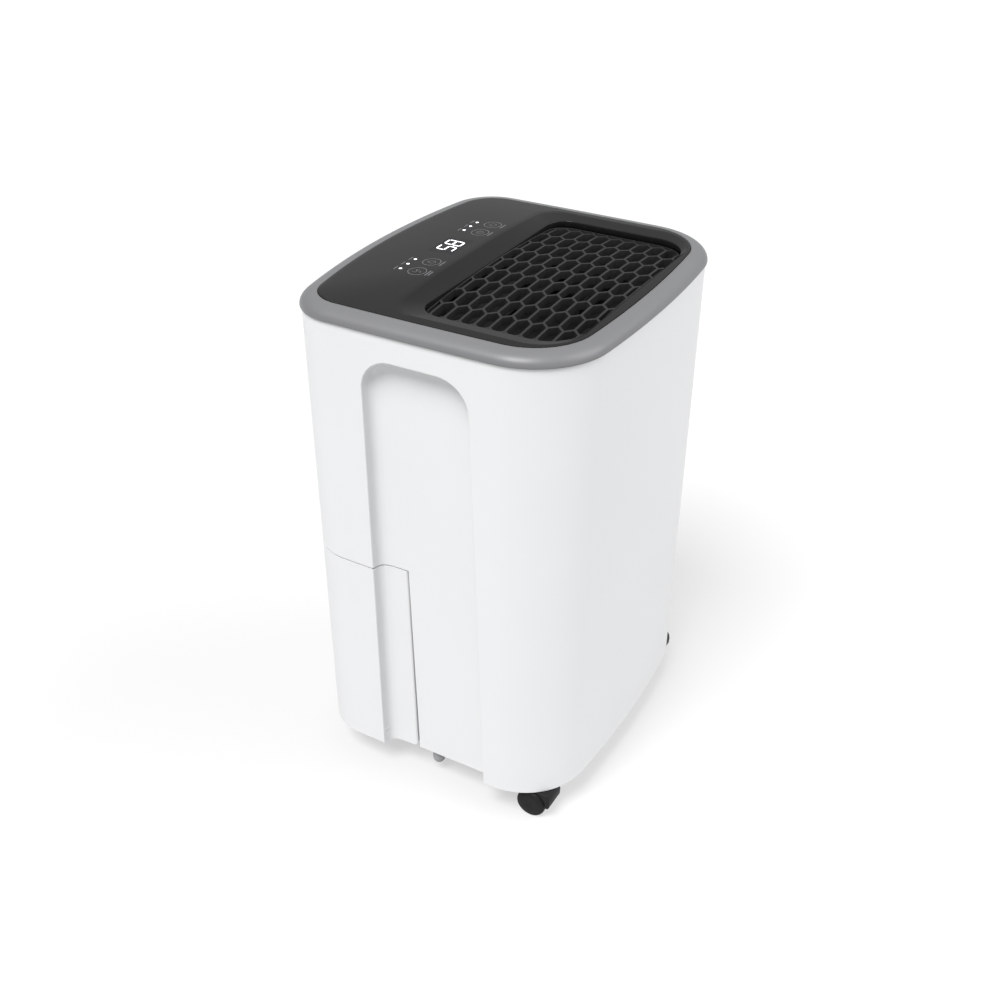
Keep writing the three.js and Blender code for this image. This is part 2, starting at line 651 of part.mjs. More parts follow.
// The fan's snail housing: round below, with its throat rising to the outlet.
function fanScroll() {
  const { z, radius, front, rear, skin, throat, top, foot } = scroll;
  const outline = (grow) => {
    const shape = new THREE.Shape();
    shape.moveTo(radius + grow, top);
    shape.lineTo(radius + grow, z);
    shape.absarc(0, z, radius + grow, 0, -Math.PI * scroll.wrap, true);
    shape.lineTo(throat - grow, z + radius - 6 + grow);
    shape.lineTo(throat - grow, top);
    return shape;
  };
  const feet = [-1, 1].map((side) => box(
    side * foot.x - foot.half, side * foot.x + foot.half, front + 4, rear - 4, foot.low, foot.high));
  const outer = joined([alongY(outline(0), front, rear, 10), ...feet]);
  const inner = alongY(outline(-skin), front + skin, rear - skin, 10)
    .add(box(throat + skin, radius - skin, front + skin, rear - skin, top - 18, top + 22));
  const airIn = bar('y', scroll.mouth, rear - 10, rear + 10, [0, z], 20);
  const motorHole = bar('y', scroll.motorHole, front - 10, front + 10, [0, z], 20);
  return cut(outer, inner, airIn, motorHole);
}

// A forward-curved drum fan: back plate, hub, ring and blades.
const fan = {
  radius: 68, inner: 61, depth: 46, plate: 3, ring: 4, hub: 12, hubDepth: 22, bore: 4.4, shaft: 4,
  blades: 18, bladeWide: 11, bladeThick: 2, bladeTurn: 0.5,
};
const motor = { radius: 40, depth: 38, nose: 16, bracket: 60, armReach: 50, arm: 4 };

function fanImpeller() {
  const { z, front } = scroll;
  const low = front + 8;
  const high = low + fan.depth;
  const plate = bar('y', fan.radius, low, low + fan.plate, [0, z], 24);
  const hub = bar('y', fan.hub, low, low + fan.hubDepth, [0, z], 12);
  const ring = bar('y', fan.radius, high - fan.ring, high, [0, z], 24)
    .subtract(bar('y', fan.inner, high - 8, high + 4, [0, z], 24));
  const blades = range(fan.blades).map((k) => {
    const angle = (k / fan.blades) * 2 * Math.PI;
    const blade = new THREE.BoxGeometry(fan.bladeWide, fan.depth - 2, fan.bladeThick)
      .rotateY(fan.bladeTurn).translate(fan.inner, 0, 0).rotateY(angle);
    return solid(blade.translate(0, (low + high) / 2, z));
  });
  const bore = bar('y', fan.bore, low - 5, low + 30, [0, z], 10);
  return cut(joined([plate, hub, ring, wasm.Manifold.union(blades)]), bore);
}

function fanMotor() {
  const { z, front } = scroll;
  const can = bar('y', motor.radius, front - 6 - motor.depth, front - 6, [0, z], 20);
  const nose = bar('y', motor.nose, front - 7, front + 2, [0, z], 12);
  return joined([can, nose]);
}

function fanShaft() {
  const { z, front } = scroll;
  return bar('y', fan.shaft, front + 2.4, front + 29, [0, z], 10);
}

// A plate with three arms from the scroll's face round the motor.
function motorBracket() {
  const { z, front } = scroll;
  const reach = motor.armReach;
  const y0 = front - 5;
  const ring = bar('y', motor.bracket, y0, front - gap, [0, z], 20)
    .subtract(bar('y', motor.radius + 1, y0 - 5, front + 5, [0, z], 20));
  const arms = range(3).map((k) => {
    const angle = (k / 3) * 2 * Math.PI;
    const place = [reach * Math.cos(angle), z + reach * Math.sin(angle)];
    return bar('y', motor.arm, front - 30, y0 + 1, place, 8);
  });
  return joined([ring, ...arms]);
}

// Welded steel can with a seam band, three feet and a terminal cover.
const canProfile = [
  [0, 58], [38, 60], [50, 72], [50, 138], [53, 139], [53, 145], [50, 146], [50, 196], [40, 212], [0, 220],
];
const lobe = { radius: 11, wide: 18, low: 62, high: 66, bore: 5.4 };
const terminal = { left: -14, right: 14, front: 44, rear: 60, low: 100, high: 134 };

function compressor() {
  const middle = (lobe.low + lobe.high) / 2;
  const arms = footAngles.map((angle) => solid(
    new THREE.BoxGeometry(footReach, lobe.wide, lobe.high - lobe.low)
      .translate(footReach / 2, 0, middle).rotateZ(angle)));
  const feet = footPlaces.map((place) => bar('z', lobe.radius, lobe.low, lobe.high, place, 12));
  const lobes = feet.map((foot, k) => foot.add(arms[k]));
  const cover = block(terminal);
  const bores = footPlaces.map((place) => bar('z', lobe.bore, 50, 80, place, 10));
  return cut(joined([turned(canProfile, 24), ...lobes, cover]), ...bores);
}

function grommet() {
  const profile = [[3.6, 41.4], [9, 41.4], [9, 61.5], [5, 61.5], [5, 67], [3.6, 67], [3.6, 41.4]];
  return turned(profile, 10);
}

function accumulator() {
  return turned([[0, 74], [8, 76], [17, 86], [17, 168], [8, 178], [0, 180]], 14);
}

// casters
// Two wheels on one axle under a hood that turns about its stem. The wheel's flat sides are set so
// that one of them lies on the floor.
function casterWheel() {
  const radius = caster.radius / Math.cos(Math.PI / caster.sides);
  const outer = caster.halfTrack;
  const profile = [
    [0, outer], [radius - 2, outer], [radius, outer - 1.6], [radius, 3.6],
    [caster.bore, 3.6], [caster.bore, 9.4], [0, 9.4],
  ];
  return turned(profile, caster.sides, Math.PI / caster.sides);
}

function casterHood() {
  const axleY = caster.trail;
  const { radius } = caster;
  const inner = radius + 1;
  const top = bodyBottom - 0.4;
  const fender = new THREE.Shape();
  fender.moveTo(axleY - inner - 3.4, radius);
  fender.absarc(axleY, radius, inner, Math.PI, Math.PI * 0.3, true);
  fender.lineTo(axleY + 14, top);
  fender.lineTo(axleY - 20, top);
  const cover = alongX(fender, -caster.coverHalf, caster.coverHalf, 7);
  const web = alongX(new THREE.Shape([
    v2(axleY - 16, radius + 2), v2(axleY - 4, radius - 5), v2(axleY + 5, radius - 4), v2(axleY + 8, top),
    v2(axleY - 18, top),
  ]), -caster.webHalf, caster.webHalf);
  const stem = bar('z', caster.stem, top - 1, caster.stemTop, [0, 0], 10);
  return cut(joined([cover, web, stem]), bar('x', caster.bore, -20, 20, [axleY, radius], 10));
}

function casterAxle() {
  return bar('x', caster.axle, -caster.axleHalf, caster.axleHalf, [caster.trail, caster.radius], 8);
}

// electrics
const board = { left: -86, right: 86, front: 52, rear: 92, low: 487, high: 488.6 };
const display = { left: -20, right: 20, front: 53, rear: 77, low: 489, high: 498.8 };
const levelSwitch = { left: 14, right: 32, front: 2, rear: 11.6, low: 196, high: 214 };
const sensor = { left: -131, right: -116, front: 30, rear: 44, low: 300, high: 322 };
const capacitor = {
  x: 104, y: -92, radius: 20, low: 62, high: 128, clipRadius: 23, clipLow: 80, clipHigh: 98,
};


function runCapacitor() {
  return bar('z', capacitor.radius, capacitor.low, capacitor.high, [capacitor.x, capacitor.y], 16);
}

function capacitorClip() {
  const { x, y, clipRadius, clipLow, clipHigh } = capacitor;
  const band = bar('z', clipRadius, clipLow, clipHigh, [x, y], 16);
  return cut(band, bar('z', capacitor.radius + gap, clipLow - 10, clipHigh + 12, [x, y], 16));
}

// pipes
const receiverPlace = { x: 24, y: -58 };
const runEnd = coil.half + 6.4;      // just clear of the coils' open ends
const topRun = coil.first + (coil.rows - 1) * coil.pitch;
const lowRun = coil.first;
const pipes = {
  suction: [4, 26, [
    [receiverPlace.x, receiverPlace.y, 180.4], [receiverPlace.x, receiverPlace.y, 205],
    [70, -54, 232], [108, -50, 240], [114, -46, 262], [134, -20, 310], [137, 50, 370],
    [136, evaporatorY - 10, topRun - 14], [129, evaporatorY, topRun],
    [122, evaporatorY, topRun], [runEnd, evaporatorY, topRun]]],
  discharge: [3.4, 22, [
    [compressorPlace.x, compressorPlace.y, 220.6], [compressorPlace.x, compressorPlace.y, 228],
    [-52, -66, 238], [0, -76, 241], [92, -72, 239], [100, -68, 262],
    [118, -20, 320], [127, 40, 390], [127, condenserY - 3, topRun - 3], [122, condenserY, topRun],
    [runEnd, condenserY, topRun]]],
  capillary: [2, 12, [
    [-runEnd, condenserY, lowRun], [-126, condenserY + 1, lowRun + 1],
    [-133, condenserY + 10, lowRun + 10], [-133, evaporatorY - 10, lowRun + 10],
    [-126, evaporatorY - 1, lowRun + 1], [-runEnd, evaporatorY, lowRun]]],
};

function pipe(name) {
  const [radius, steps, points] = pipes[name];
  return tube(points, radius, steps);
}

const stopProfile = [[0, 12], [4, 13], [6.4, 17], [6.4, 31], [3, 31], [3, 37.4], [0, 37.4]];

// assembly
add('housing_sleeve', housingSleeve(), whitePlastic());
add('base_pan', basePan(), darkPlastic());
add('bulkhead', bulkhead(), innerPlastic());
add('top_ring', topRing(), greyPlastic());
add('top_deck', topDeck(), darkPlastic());
add('control_panel', controlPanel(), panelGloss());
add('outlet_grille', outletGrille(), darkPlastic());
add('control_board', block(board), circuit());
add('display_module', block(display), blackPaint());

add('tank_bucket', tankBucket(), whitePlastic());
add('tank_lid', tankLid(), whitePlastic());
add('tank_handle', tankHandle(), greyPlastic());
add('float_bracket', floatBracket(), whitePlastic());
add('tank_float', tankFloat(), whitePlastic());
add('float_switch', block(levelSwitch), blackPaint());

add('intake_grille', intakeGrille(), whitePlastic());
add('filter_frame', filterFrame(), darkPlastic());
add('filter_mesh', filterMesh(), meshCloth());
add('hose_outlet', hoseOutlet(), greyPlastic());
add('hose_cap', hoseCap(), rubber());
add('cord_gland', cordGland(), rubber());

add('evaporator_coil', coilTube(evaporatorY), copper());
add('evaporator_fins', finPack(evaporatorY), aluminium());
add('condenser_coil', coilTube(condenserY), copper());
add('condenser_fins', finPack(condenserY), aluminium());
add('drip_tray', dripTray(), innerPlastic());
add('fan_scroll', fanScroll(), innerPlastic());
add('fan_impeller', fanImpeller(), darkPlastic());
add('fan_shaft', fanShaft(), steel());
add('fan_motor', fanMotor(), steel());
add('motor_bracket', motorBracket(), steel());

const machine = new THREE.Group();
machine.position.set(compressorPlace.x, compressorPlace.y, 0);
dehumidifier.add(machine);
add('compressor', compressor(), blackPaint(), machine);
footPlaces.forEach(([x, y], k) => {
  const piece = add(`compressor_grommet_${k + 1}`, grommet(), rubber(), machine);
  piece.position.set(x, y, 0);
});
const receiver = add('accumulator', accumulator(), blackPaint());
receiver.position.set(receiverPlace.x, receiverPlace.y, 0);
add('suction_pipe', pipe('suction'), copper());
add('discharge_pipe', pipe('discharge'), copper());
add('capillary_tube', pipe('capillary'), copper());
add('run_capacitor', runCapacitor(), aluminium());
add('capacitor_clip', capacitorClip(), steel());
add('humidity_sensor', block(sensor), whitePlastic());

[['left', -1], ['right', 1]].forEach(([name, side]) => {
  const foot = add(`stop_foot_${name}`, turned(stopProfile, 12), greyRubber());
  foot.position.set(side * footPlace.x, footPlace.y, 0);
});

casterPlaces.forEach(({ name, x, y }) => {
  const group = new THREE.Group();
  group.position.set(x, y, 0);
  dehumidifier.add(group);
  add(`caster_hood_${name}`, casterHood(), darkPlastic(), group);
  add(`caster_axle_${name}`, casterAxle(), steel(), group);
  [['outer', Math.sign(x)], ['inner', -Math.sign(x)]].forEach(([place, side]) => {
    const wheel = add(`caster_wheel_${place}_${name}`, casterWheel(), darkPlastic(), group);
    wheel.rotation.y = (side * Math.PI) / 2;
    wheel.position.set(0, caster.trail, caster.radius);
  });
});

export default dehumidifier;
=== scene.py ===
from math import atan2, cos, hypot, pi, radians, sin, sqrt
import bmesh
import bpy
from mathutils import Matrix, Vector


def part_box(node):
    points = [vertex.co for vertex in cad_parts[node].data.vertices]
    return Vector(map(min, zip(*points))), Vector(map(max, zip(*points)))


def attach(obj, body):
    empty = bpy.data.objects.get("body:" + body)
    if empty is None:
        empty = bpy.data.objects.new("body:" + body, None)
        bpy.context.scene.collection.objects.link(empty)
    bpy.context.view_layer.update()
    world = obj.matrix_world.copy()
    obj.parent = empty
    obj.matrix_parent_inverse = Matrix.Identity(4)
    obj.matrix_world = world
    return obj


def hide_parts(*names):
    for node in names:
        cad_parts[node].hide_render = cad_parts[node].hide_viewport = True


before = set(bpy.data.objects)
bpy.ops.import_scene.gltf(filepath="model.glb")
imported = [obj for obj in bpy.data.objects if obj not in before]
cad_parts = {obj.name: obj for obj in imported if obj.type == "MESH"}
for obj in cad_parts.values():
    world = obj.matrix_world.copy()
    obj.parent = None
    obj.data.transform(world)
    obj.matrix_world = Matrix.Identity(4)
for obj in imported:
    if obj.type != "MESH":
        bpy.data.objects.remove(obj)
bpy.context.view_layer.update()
scene = bpy.context.scene
mm = 0.001  # sizes below are in millimetres, in the frame's axes: +Z up, front towards -Y
fullTurn = 2 * pi


# The camera's place in metres and its angles in radians.
view = {"place": (-0.94748, -0.51843, 0.92718), "azimuth": -1.0606, "elevation": 0.5605, "roll": 0.005,
        "lens": 46.02, "sensor": 36, "farClip": 50}


def addCamera():
    camera = bpy.data.objects.new("camera", bpy.data.cameras.new("camera"))
    scene.collection.objects.link(camera)
    az, el, roll = view["azimuth"], view["elevation"], view["roll"]
    back = Vector((sin(az) * cos(el), -cos(az) * cos(el), sin(el)))
    right = Vector((0, 0, 1)).cross(back).normalized()
    up = back.cross(right)
    axes = (cos(roll) * right + sin(roll) * up, cos(roll) * up - sin(roll) * right, back)
    camera.matrix_world = Matrix.Translation(view["place"]) @ Matrix(axes).transposed().to_4x4()
    camera.data.lens = view["lens"]
    camera.data.sensor_width = view["sensor"]
    camera.data.clip_end = view["farClip"]
    scene.camera = camera


studio = {
    "sky": 0.42, "skyColour": (0.99, 0.995, 1.0),
    "floorColour": (0.24, 0.24, 0.24), "floorRoughness": 0.9, "floorGlow": 0.56, "floorSize": 40.0,
    "lamps": {
        "keyLamp": {"towards": (-0.5, 0.05, 0.86), "spread": 28, "strength": 4.25},
        "fillLamp": {"towards": (0.34, -0.7, 0.62), "spread": 45, "strength": 1.95},
    },
}


def addStudio():
    world = bpy.data.worlds.new("studio")
    scene.world = world
    world.use_nodes = True
    background = world.node_tree.nodes["Background"]
    background.inputs["Color"].default_value = (*studio["skyColour"], 1)
    background.inputs["Strength"].default_value = studio["sky"]
    for name, lamp in studio["lamps"].items():
        light = bpy.data.lights.new(name, "SUN")
        light.angle = radians(lamp["spread"])
        light.energy = lamp["strength"]
        holder = bpy.data.objects.new(name, light)
        scene.collection.objects.link(holder)
        holder.rotation_euler = (-Vector(lamp["towards"])).to_track_quat("-Z", "Y").to_euler()
    bm = bmesh.new()
    bmesh.ops.create_grid(bm, x_segments=1, y_segments=1, size=studio["floorSize"] / 2)
    floor = pieceFrom(bm, "floor")
    paint = Paint("floorPaint", studio["floorColour"], studio["floorRoughness"])
    paint.set("Emission Color", (1, 1, 1, 1))
    paint.set("Emission Strength", studio["floorGlow"])
    floor.data.materials.append(paint.material)
    scene.view_settings.view_transform = "Standard"
    print("studio ready")


class Wire:
    # A node's output. Arithmetic on it adds Math nodes.
    def __init__(self, paint, socket):
        self.paint = paint
        self.socket = socket

    def maths(self, operation, first, second):
        return self.paint.node("ShaderNodeMath", {"operation": operation}, {0: first, 1: second})

    def __add__(self, other):
        return self.maths("ADD", self, other)

    def __radd__(self, other):
        return self.maths("ADD", other, self)

    def __sub__(self, other):
        return self.maths("SUBTRACT", self, other)

    def __rsub__(self, other):
        return self.maths("SUBTRACT", other, self)

    def __mul__(self, other):
        return self.maths("MULTIPLY", self, other)

    def __rmul__(self, other):
        return self.maths("MULTIPLY", other, self)


class Paint:
    # A material on the Principled shader, read in Object coordinates.
    def __init__(self, name, colour, roughness, metallic=0.0):
        self.material = bpy.data.materials.new(name)
        self.material.use_nodes = True
        self.tree = self.material.node_tree
        self.shader = self.tree.nodes["Principled BSDF"]
        self.set("Base Color", (*colour, 1))
        self.set("Roughness", roughness)
        self.set("Metallic", metallic)
        self.material.diffuse_color = (*colour, 1)

    def set(self, socket, value):
        if isinstance(value, Wire):
            self.tree.links.new(value.socket, self.shader.inputs[socket])
        else:
            self.shader.inputs[socket].default_value = value

    def node(self, kind, settings=None, sockets=None, out=0):
        made = self.tree.nodes.new(kind)
        for key, value in (settings or {}).items():
            if key == "stops":
                for stop, (place, shade) in zip(self.rampStops(made, len(value)), value):
                    stop.position = place
                    stop.color = (*shade, 1)
            else:
                setattr(made, key, value)
        for key, value in (sockets or {}).items():
            if isinstance(value, Wire):
                self.tree.links.new(value.socket, made.inputs[key])
            else:
                made.inputs[key].default_value = value
        return Wire(self, made.outputs[out])

    def rampStops(self, ramp, count):
        stops = ramp.color_ramp.elements
        while len(stops) < count:
            stops.new(0.5)
        return list(stops)

    def place(self, stretch=(1, 1, 1)):
        spot = self.node("ShaderNodeTexCoord", out="Object")
        return self.node("ShaderNodeMapping", {}, {"Vector": spot, "Scale": stretch})

    def noise(self, scale, detail=2.0, stretch=(1, 1, 1)):
        spot = self.place(stretch)
        return self.node("ShaderNodeTexNoise", {}, {"Vector": spot, "Scale": scale, "Detail": detail})

    def tint(self, factor, low, high):
        # a colour between two, picked by a value
        return self.node("ShaderNodeValToRGB", {"stops": [(0.25, low), (0.75, high)]}, {"Fac": factor})

    def follow(self, pattern, roughness, spread):
        # roughness that follows a pattern, spread evenly to both sides
        self.set("Roughness", roughness - spread / 2 + pattern * spread)

    def bump(self, height, distance):
        self.set("Normal", self.node("ShaderNodeBump", {}, {"Height": height, "Distance": distance}))


def shaded(colour, share):
    return tuple(channel * share for channel in colour)


# Moulded plastics: a slow drift of tone, a fine moulding grain and a roughness that follows it.
plasticColumns = ("colour", "roughness", "grain", "depth", "drift", "gloss")
plastics = {
    "whitePlastic": ((0.615, 0.62, 0.625), 0.36, 1500, 0.012, 0.985, 0.25),
    "greyTrim": ((0.145, 0.147, 0.15), 0.4, 2200, 0.018, 0.95, 0.4),
    "darkGrain": ((0.02, 0.02, 0.021), 0.5, 1800, 0.03, 0.8, 0.35),
    "casterNylon": ((0.013, 0.013, 0.0135), 0.5, 1400, 0.02, 0.8, 0.12),
    "innerPlastic": ((0.11, 0.115, 0.12), 0.6, 900, 0.03, 0.85, 0.4),
    "ductBlack": ((0.01, 0.01, 0.011), 0.7, 900, 0.03, 0.8, 0.2),
    "blackPaint": ((0.012, 0.012, 0.013), 0.34, 500, 0.03, 0.8, 0.5),
    "greyRubber": ((0.3, 0.302, 0.306), 0.75, 1200, 0.05, 0.85, 0.3),
    "blackRubber": ((0.02, 0.02, 0.021), 0.8, 1200, 0.05, 0.8, 0.3),
}
moulding = {"driftScale": 9.0, "grainDetail": 3.0, "spread": 0.08}


def plastic(name):
    look = dict(zip(plasticColumns, plastics[name]))
    paint = Paint(name, look["colour"], look["roughness"])
    paint.set("Specular IOR Level", look["gloss"])
    drift = paint.noise(moulding["driftScale"])
    paint.set("Base Color", paint.tint(drift, shaded(look["colour"], look["drift"]), look["colour"]))
    grain = paint.noise(look["grain"], moulding["grainDetail"])
    paint.follow(grain, look["roughness"], moulding["spread"])
    paint.bump(grain, look["depth"] * mm)
    return paint.material


# The smoked hard coat over the panel's dark film, with the faintest ripple.
coat = {"colour": (0.011, 0.011, 0.0115), "dark": (0.0095, 0.0095, 0.0098), "light": (0.013, 0.013, 0.0135),
        "roughness": 0.215, "spread": 0.05, "gloss": 0.17, "weight": 0.08, "coatRoughness": 0.08,
        "ripple": 14.0, "speck": 2600.0, "depth": 0.05}


def panelGloss():
    paint = Paint("panelGloss", coat["colour"], coat["roughness"])
    paint.set("Specular IOR Level", coat["gloss"])
    ripple = paint.noise(coat["ripple"], 1.0)
    speck = paint.noise(coat["speck"])
    paint.set("Base Color", paint.tint(speck, coat["dark"], coat["light"]))
    paint.follow(ripple, coat["roughness"], coat["spread"])
    paint.set("Coat Weight", coat["weight"])
    paint.set("Coat Roughness", coat["coatRoughness"])
    paint.bump(ripple, coat["depth"] * mm)
    return paint.material


# Drawn or rolled metals: colour, roughness and the stretch that makes streaks along one axis.
metals = {
    "copperTube": ((0.68, 0.33, 0.19), 0.3, (1, 1, 0.2)),
    "aluminiumFin": ((0.78, 0.79, 0.8), 0.34, (1, 1, 0.1)),
    "zincSteel": ((0.56, 0.57, 0.58), 0.36, (1, 0.2, 1)),
}
drawing = {"scratch": 700.0, "detail": 3.0, "dark": 0.82, "spread": 0.16, "depth": 0.01}


def metal(name):
    colour, roughness, stretch = metals[name]
    paint = Paint(name, colour, roughness, 1.0)
    streak = paint.noise(drawing["scratch"], drawing["detail"], stretch)
    paint.set("Base Color", paint.tint(streak, shaded(colour, drawing["dark"]), colour))
    paint.follow(streak, roughness, drawing["spread"])
    paint.bump(streak, drawing["depth"] * mm)
    return paint.material


circuit = {"colour": (0.02, 0.12, 0.05), "roughness": 0.42, "scale": 180.0, "contrast": 6.0,
           "tracks": (0.03, 0.2, 0.08), "ground": (0.015, 0.09, 0.04), "depth": 0.02}


def circuitGreen():
    paint = Paint("circuitGreen", circuit["colour"], circuit["roughness"])
    tracks = paint.node("ShaderNodeTexVoronoi", {"feature": "DISTANCE_TO_EDGE"}, {
        "Vector": paint.place(), "Scale": circuit["scale"]})
    paint.set("Base Color", paint.tint(tracks * circuit["contrast"], circuit["tracks"], circuit["ground"]))
    paint.bump(tracks, circuit["depth"] * mm)
    return paint.material


cloth = {"colour": (0.03, 0.03, 0.033), "roughness": 0.85, "threads": 260.0,
         "hole": (0.012, 0.012, 0.013), "thread": (0.05, 0.05, 0.055), "depth": 0.2}


def filterCloth():
    # a plain weave: two sets of threads at right angles
    paint = Paint("filterCloth", cloth["colour"], cloth["roughness"])
    across, along = (paint.node("ShaderNodeTexWave", {"bands_direction": way}, {
        "Vector": paint.place(), "Scale": cloth["threads"]}) for way in ("X", "Z"))
    weave = across * along
    paint.set("Base Color", paint.tint(weave, cloth["hole"], cloth["thread"]))
    paint.bump(weave, cloth["depth"] * mm)
    return paint.material


prints = {"panelInk": (0.115, 0.115, 0.12), "smokedWindow": (0.008, 0.008, 0.009)}
printLook = {"roughness": 0.5, "cover": 3000.0, "thin": 0.85}


def inkPrint(name):
    # matt screen print, slightly uneven
    paint = Paint(name, prints[name], printLook["roughness"])
    cover = paint.noise(printLook["cover"], 1.0)
    paint.set("Base Color", paint.tint(cover, shaded(prints[name], printLook["thin"]), prints[name]))
    return paint.material


glow = {"colour": (0.9, 0.92, 0.95), "roughness": 0.4, "strength": 0.95, "cloud": 1200.0,
        "cool": (0.88, 0.93, 1.0), "white": (1.0, 1.0, 1.0)}


def lampGlow(name):
    paint = Paint(name, glow["colour"], glow["roughness"])
    cloud = paint.noise(glow["cloud"], 1.0)
    paint.set("Emission Color", paint.tint(cloud, glow["cool"], glow["white"]))
    paint.set("Emission Strength", glow["strength"])
    return paint.material


def pieceFrom(bm, name, smooth=35.0):
    mesh = bpy.data.meshes.new(name)
    bm.to_mesh(mesh)
    bm.free()
    piece = bpy.data.objects.new(name, mesh)
    scene.collection.objects.link(piece)
    if smooth:
        mesh.shade_smooth()
        mesh.set_sharp_from_angle(angle=radians(smooth))
    return piece


def finished(piece, finish, slot, bodyName, *replaced):
    piece.data.materials.clear()
    piece.data.materials.append(finishes[finish])
    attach(piece, bodyName)
    if replaced:
        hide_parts(*replaced)


def thicken(piece, thickness, offset=-1.0):
    wall = piece.modifiers.new("wall", "SOLIDIFY")
    wall.thickness = thickness * mm
    wall.offset = offset
    wall.use_even_offset = True


def softenEdges(piece, width, segments, limit):
    edges = piece.modifiers.new("edges", "BEVEL")
    edges.width = width * mm
    edges.segments = segments
    edges.limit_method = "ANGLE"
    edges.angle_limit = radians(limit)
    edges.harden_normals = True


def neighbours(verts, closed):
    return list(zip(verts, verts[1:] + verts[:1])) if closed else list(zip(verts, verts[1:]))


def vertsOf(geometry):
    return [item for item in geometry if isinstance(item, bmesh.types.BMVert)]


def everything(bm):
    return list(bm.verts) + list(bm.edges) + list(bm.faces)


def atLevel(edge, level):
    return all(abs(vert.co.z / mm - level) < 0.01 for vert in edge.verts)


def sweepRows(bm, rows, closed=True, wrapped=False):
    # rows of points in millimetres: the first is laid as a chain of edges, the others are extruded
    verts = [bm.verts.new(place * mm) for place in rows[0]]
    edges = [bm.edges.new(pair) for pair in neighbours(verts, closed)]
    firstEdges, laid = edges, [verts]
    for row in rows[1:]:
        fresh = set(vertsOf(bmesh.ops.extrude_edge_only(bm, edges=edges)["geom"]))
        verts = [next(e.other_vert(v) for e in v.link_edges if e.other_vert(v) in fresh) for v in verts]
        for vert, place in zip(verts, row):
            vert.co = place * mm
        edges = [bm.edges.get(pair) for pair in neighbours(verts, closed)]
        laid.append(verts)
    if wrapped:
        bmesh.ops.bridge_loops(bm, edges=firstEdges + edges)
    return laid


def atHeight(points, z):
    return [Vector((p.x, p.y, z)) for p in points]


def outwards(bm):
    bmesh.ops.remove_doubles(bm, verts=bm.verts, dist=0.002 * mm)
    bmesh.ops.recalc_face_normals(bm, faces=bm.faces)


def cutPlane(bm, point, normal, faces=None):
    picked = list(bm.faces) if faces is None else faces
    parts = set(picked)
    for face in picked:
        parts.update(face.edges)
        parts.update(face.verts)
    bmesh.ops.bisect_plane(bm, geom=list(parts), dist=1e-7, plane_co=Vector(point) * mm, plane_no=normal)


def dropFaces(bm, test):
    bmesh.ops.delete(bm, geom=[f for f in bm.faces if test(f.calc_center_median() / mm)], context="FACES")


def rect(*sizes):
    return dict(zip(("left", "right", "front", "rear", "frontCorner", "rearCorner"), sizes))


def roundEdges(bm, edges, width, steps):
    bmesh.ops.bevel(bm, geom=edges, offset=width * mm, offset_type="OFFSET", affect="EDGES", segments=steps,
                    profile=0.5, material=-1)


def slab(outline, lift, name, bevel):
    # a flat outline of (x, y, z) points in millimetres given thickness, with its edges rounded
    bm = bmesh.new()
    face = bm.faces.new([bm.verts.new(Vector(p) * mm) for p in outline])
    grown = bmesh.ops.extrude_face_region(bm, geom=[face])["geom"]
    bmesh.ops.translate(bm, vec=Vector(lift) * mm, verts=vertsOf(grown))
    outwards(bm)
    roundEdges(bm, [e for e in bm.edges if e.calc_face_angle(0) > radians(40)], bevel, 3)
    return pieceFrom(bm, name)


def turned(profile, name, centre, steps, axis="Z"):
    # a profile of (radius, height) spun about Z, then laid along its axis through centre
    bm = bmesh.new()
    verts = [bm.verts.new((radius * mm, 0, height * mm)) for radius, height in profile]
    edges = [bm.edges.new(pair) for pair in zip(verts, verts[1:])]
    bmesh.ops.spin(bm, geom=verts + edges, cent=(0, 0, 0), axis=(0, 0, 1), dvec=(0, 0, 0),
                   angle=fullTurn, steps=steps, use_merge=True, use_duplicate=False)
    outwards(bm)
    lay = Matrix.Rotation(pi / 2, 4, "Y") if axis == "X" else Matrix.Identity(4)
    bmesh.ops.transform(bm, matrix=Matrix.Translation(Vector(centre) * mm) @ lay, verts=bm.verts)
    return pieceFrom(bm, name)


# The outer surface. Its plan is a rounded box whose sides, front and back are bowed a little.
plan = {"halfWidth": 165.7, "halfDepth": 146.0, "frontBow": 1143.0, "rearBow": 723.0, "sideBow": 4780.0,
        "frontCorner": 69.0, "rearCorner": 49.0, "draftX": 2.6, "draftY": 3.0, "bottom": 32.0, "top": 487.0,
        "upperLevels": (479.0, 485.0), "counts": (6, 20, 12)}
recess = {"back": 54.0, "frontTop": -50.0, "frontBottom": -63.5, "top": 463.0, "corner": 30.0,
          "patchFront": -74.0, "patchBack": 68.0, "patchTop": 474.0, "patchShares": (0.35, 0.7),
          "patchSteps": 5, "heightSteps": 16, "arcSteps": 10, "topSteps": 6}
seam = {"tankTop": 246.4, "sleeveEdge": 247.6, "tankFront": (24.6, 21.6), "sleeveFront": (23.2, 18.8)}


def quarterArcs(bow, corner):
    # the round corner that is tangent to the bowed side and the bowed end
    endCentre = Vector((0, plan["halfDepth"] - bow))
    sideCentre = Vector((plan["halfWidth"] - plan["sideBow"], 0))
    endReach, sideSpan = bow - corner, plan["sideBow"] - corner
    between = sideCentre - endCentre
    span = between.length
    along = (endReach ** 2 - sideSpan ** 2 + span ** 2) / (2 * span)
    unit = between / span
    centre = endCentre + unit * along + Vector((unit.y, -unit.x)) * sqrt(endReach ** 2 - along ** 2)
    sideAngle = atan2(centre.y - sideCentre.y, centre.x - sideCentre.x)
    endAngle = atan2(centre.y - endCentre.y, centre.x - endCentre.x)
    return [(sideCentre, plan["sideBow"], 0.0, sideAngle), (centre, corner, sideAngle, endAngle),
            (endCentre, bow, endAngle, pi / 2)]


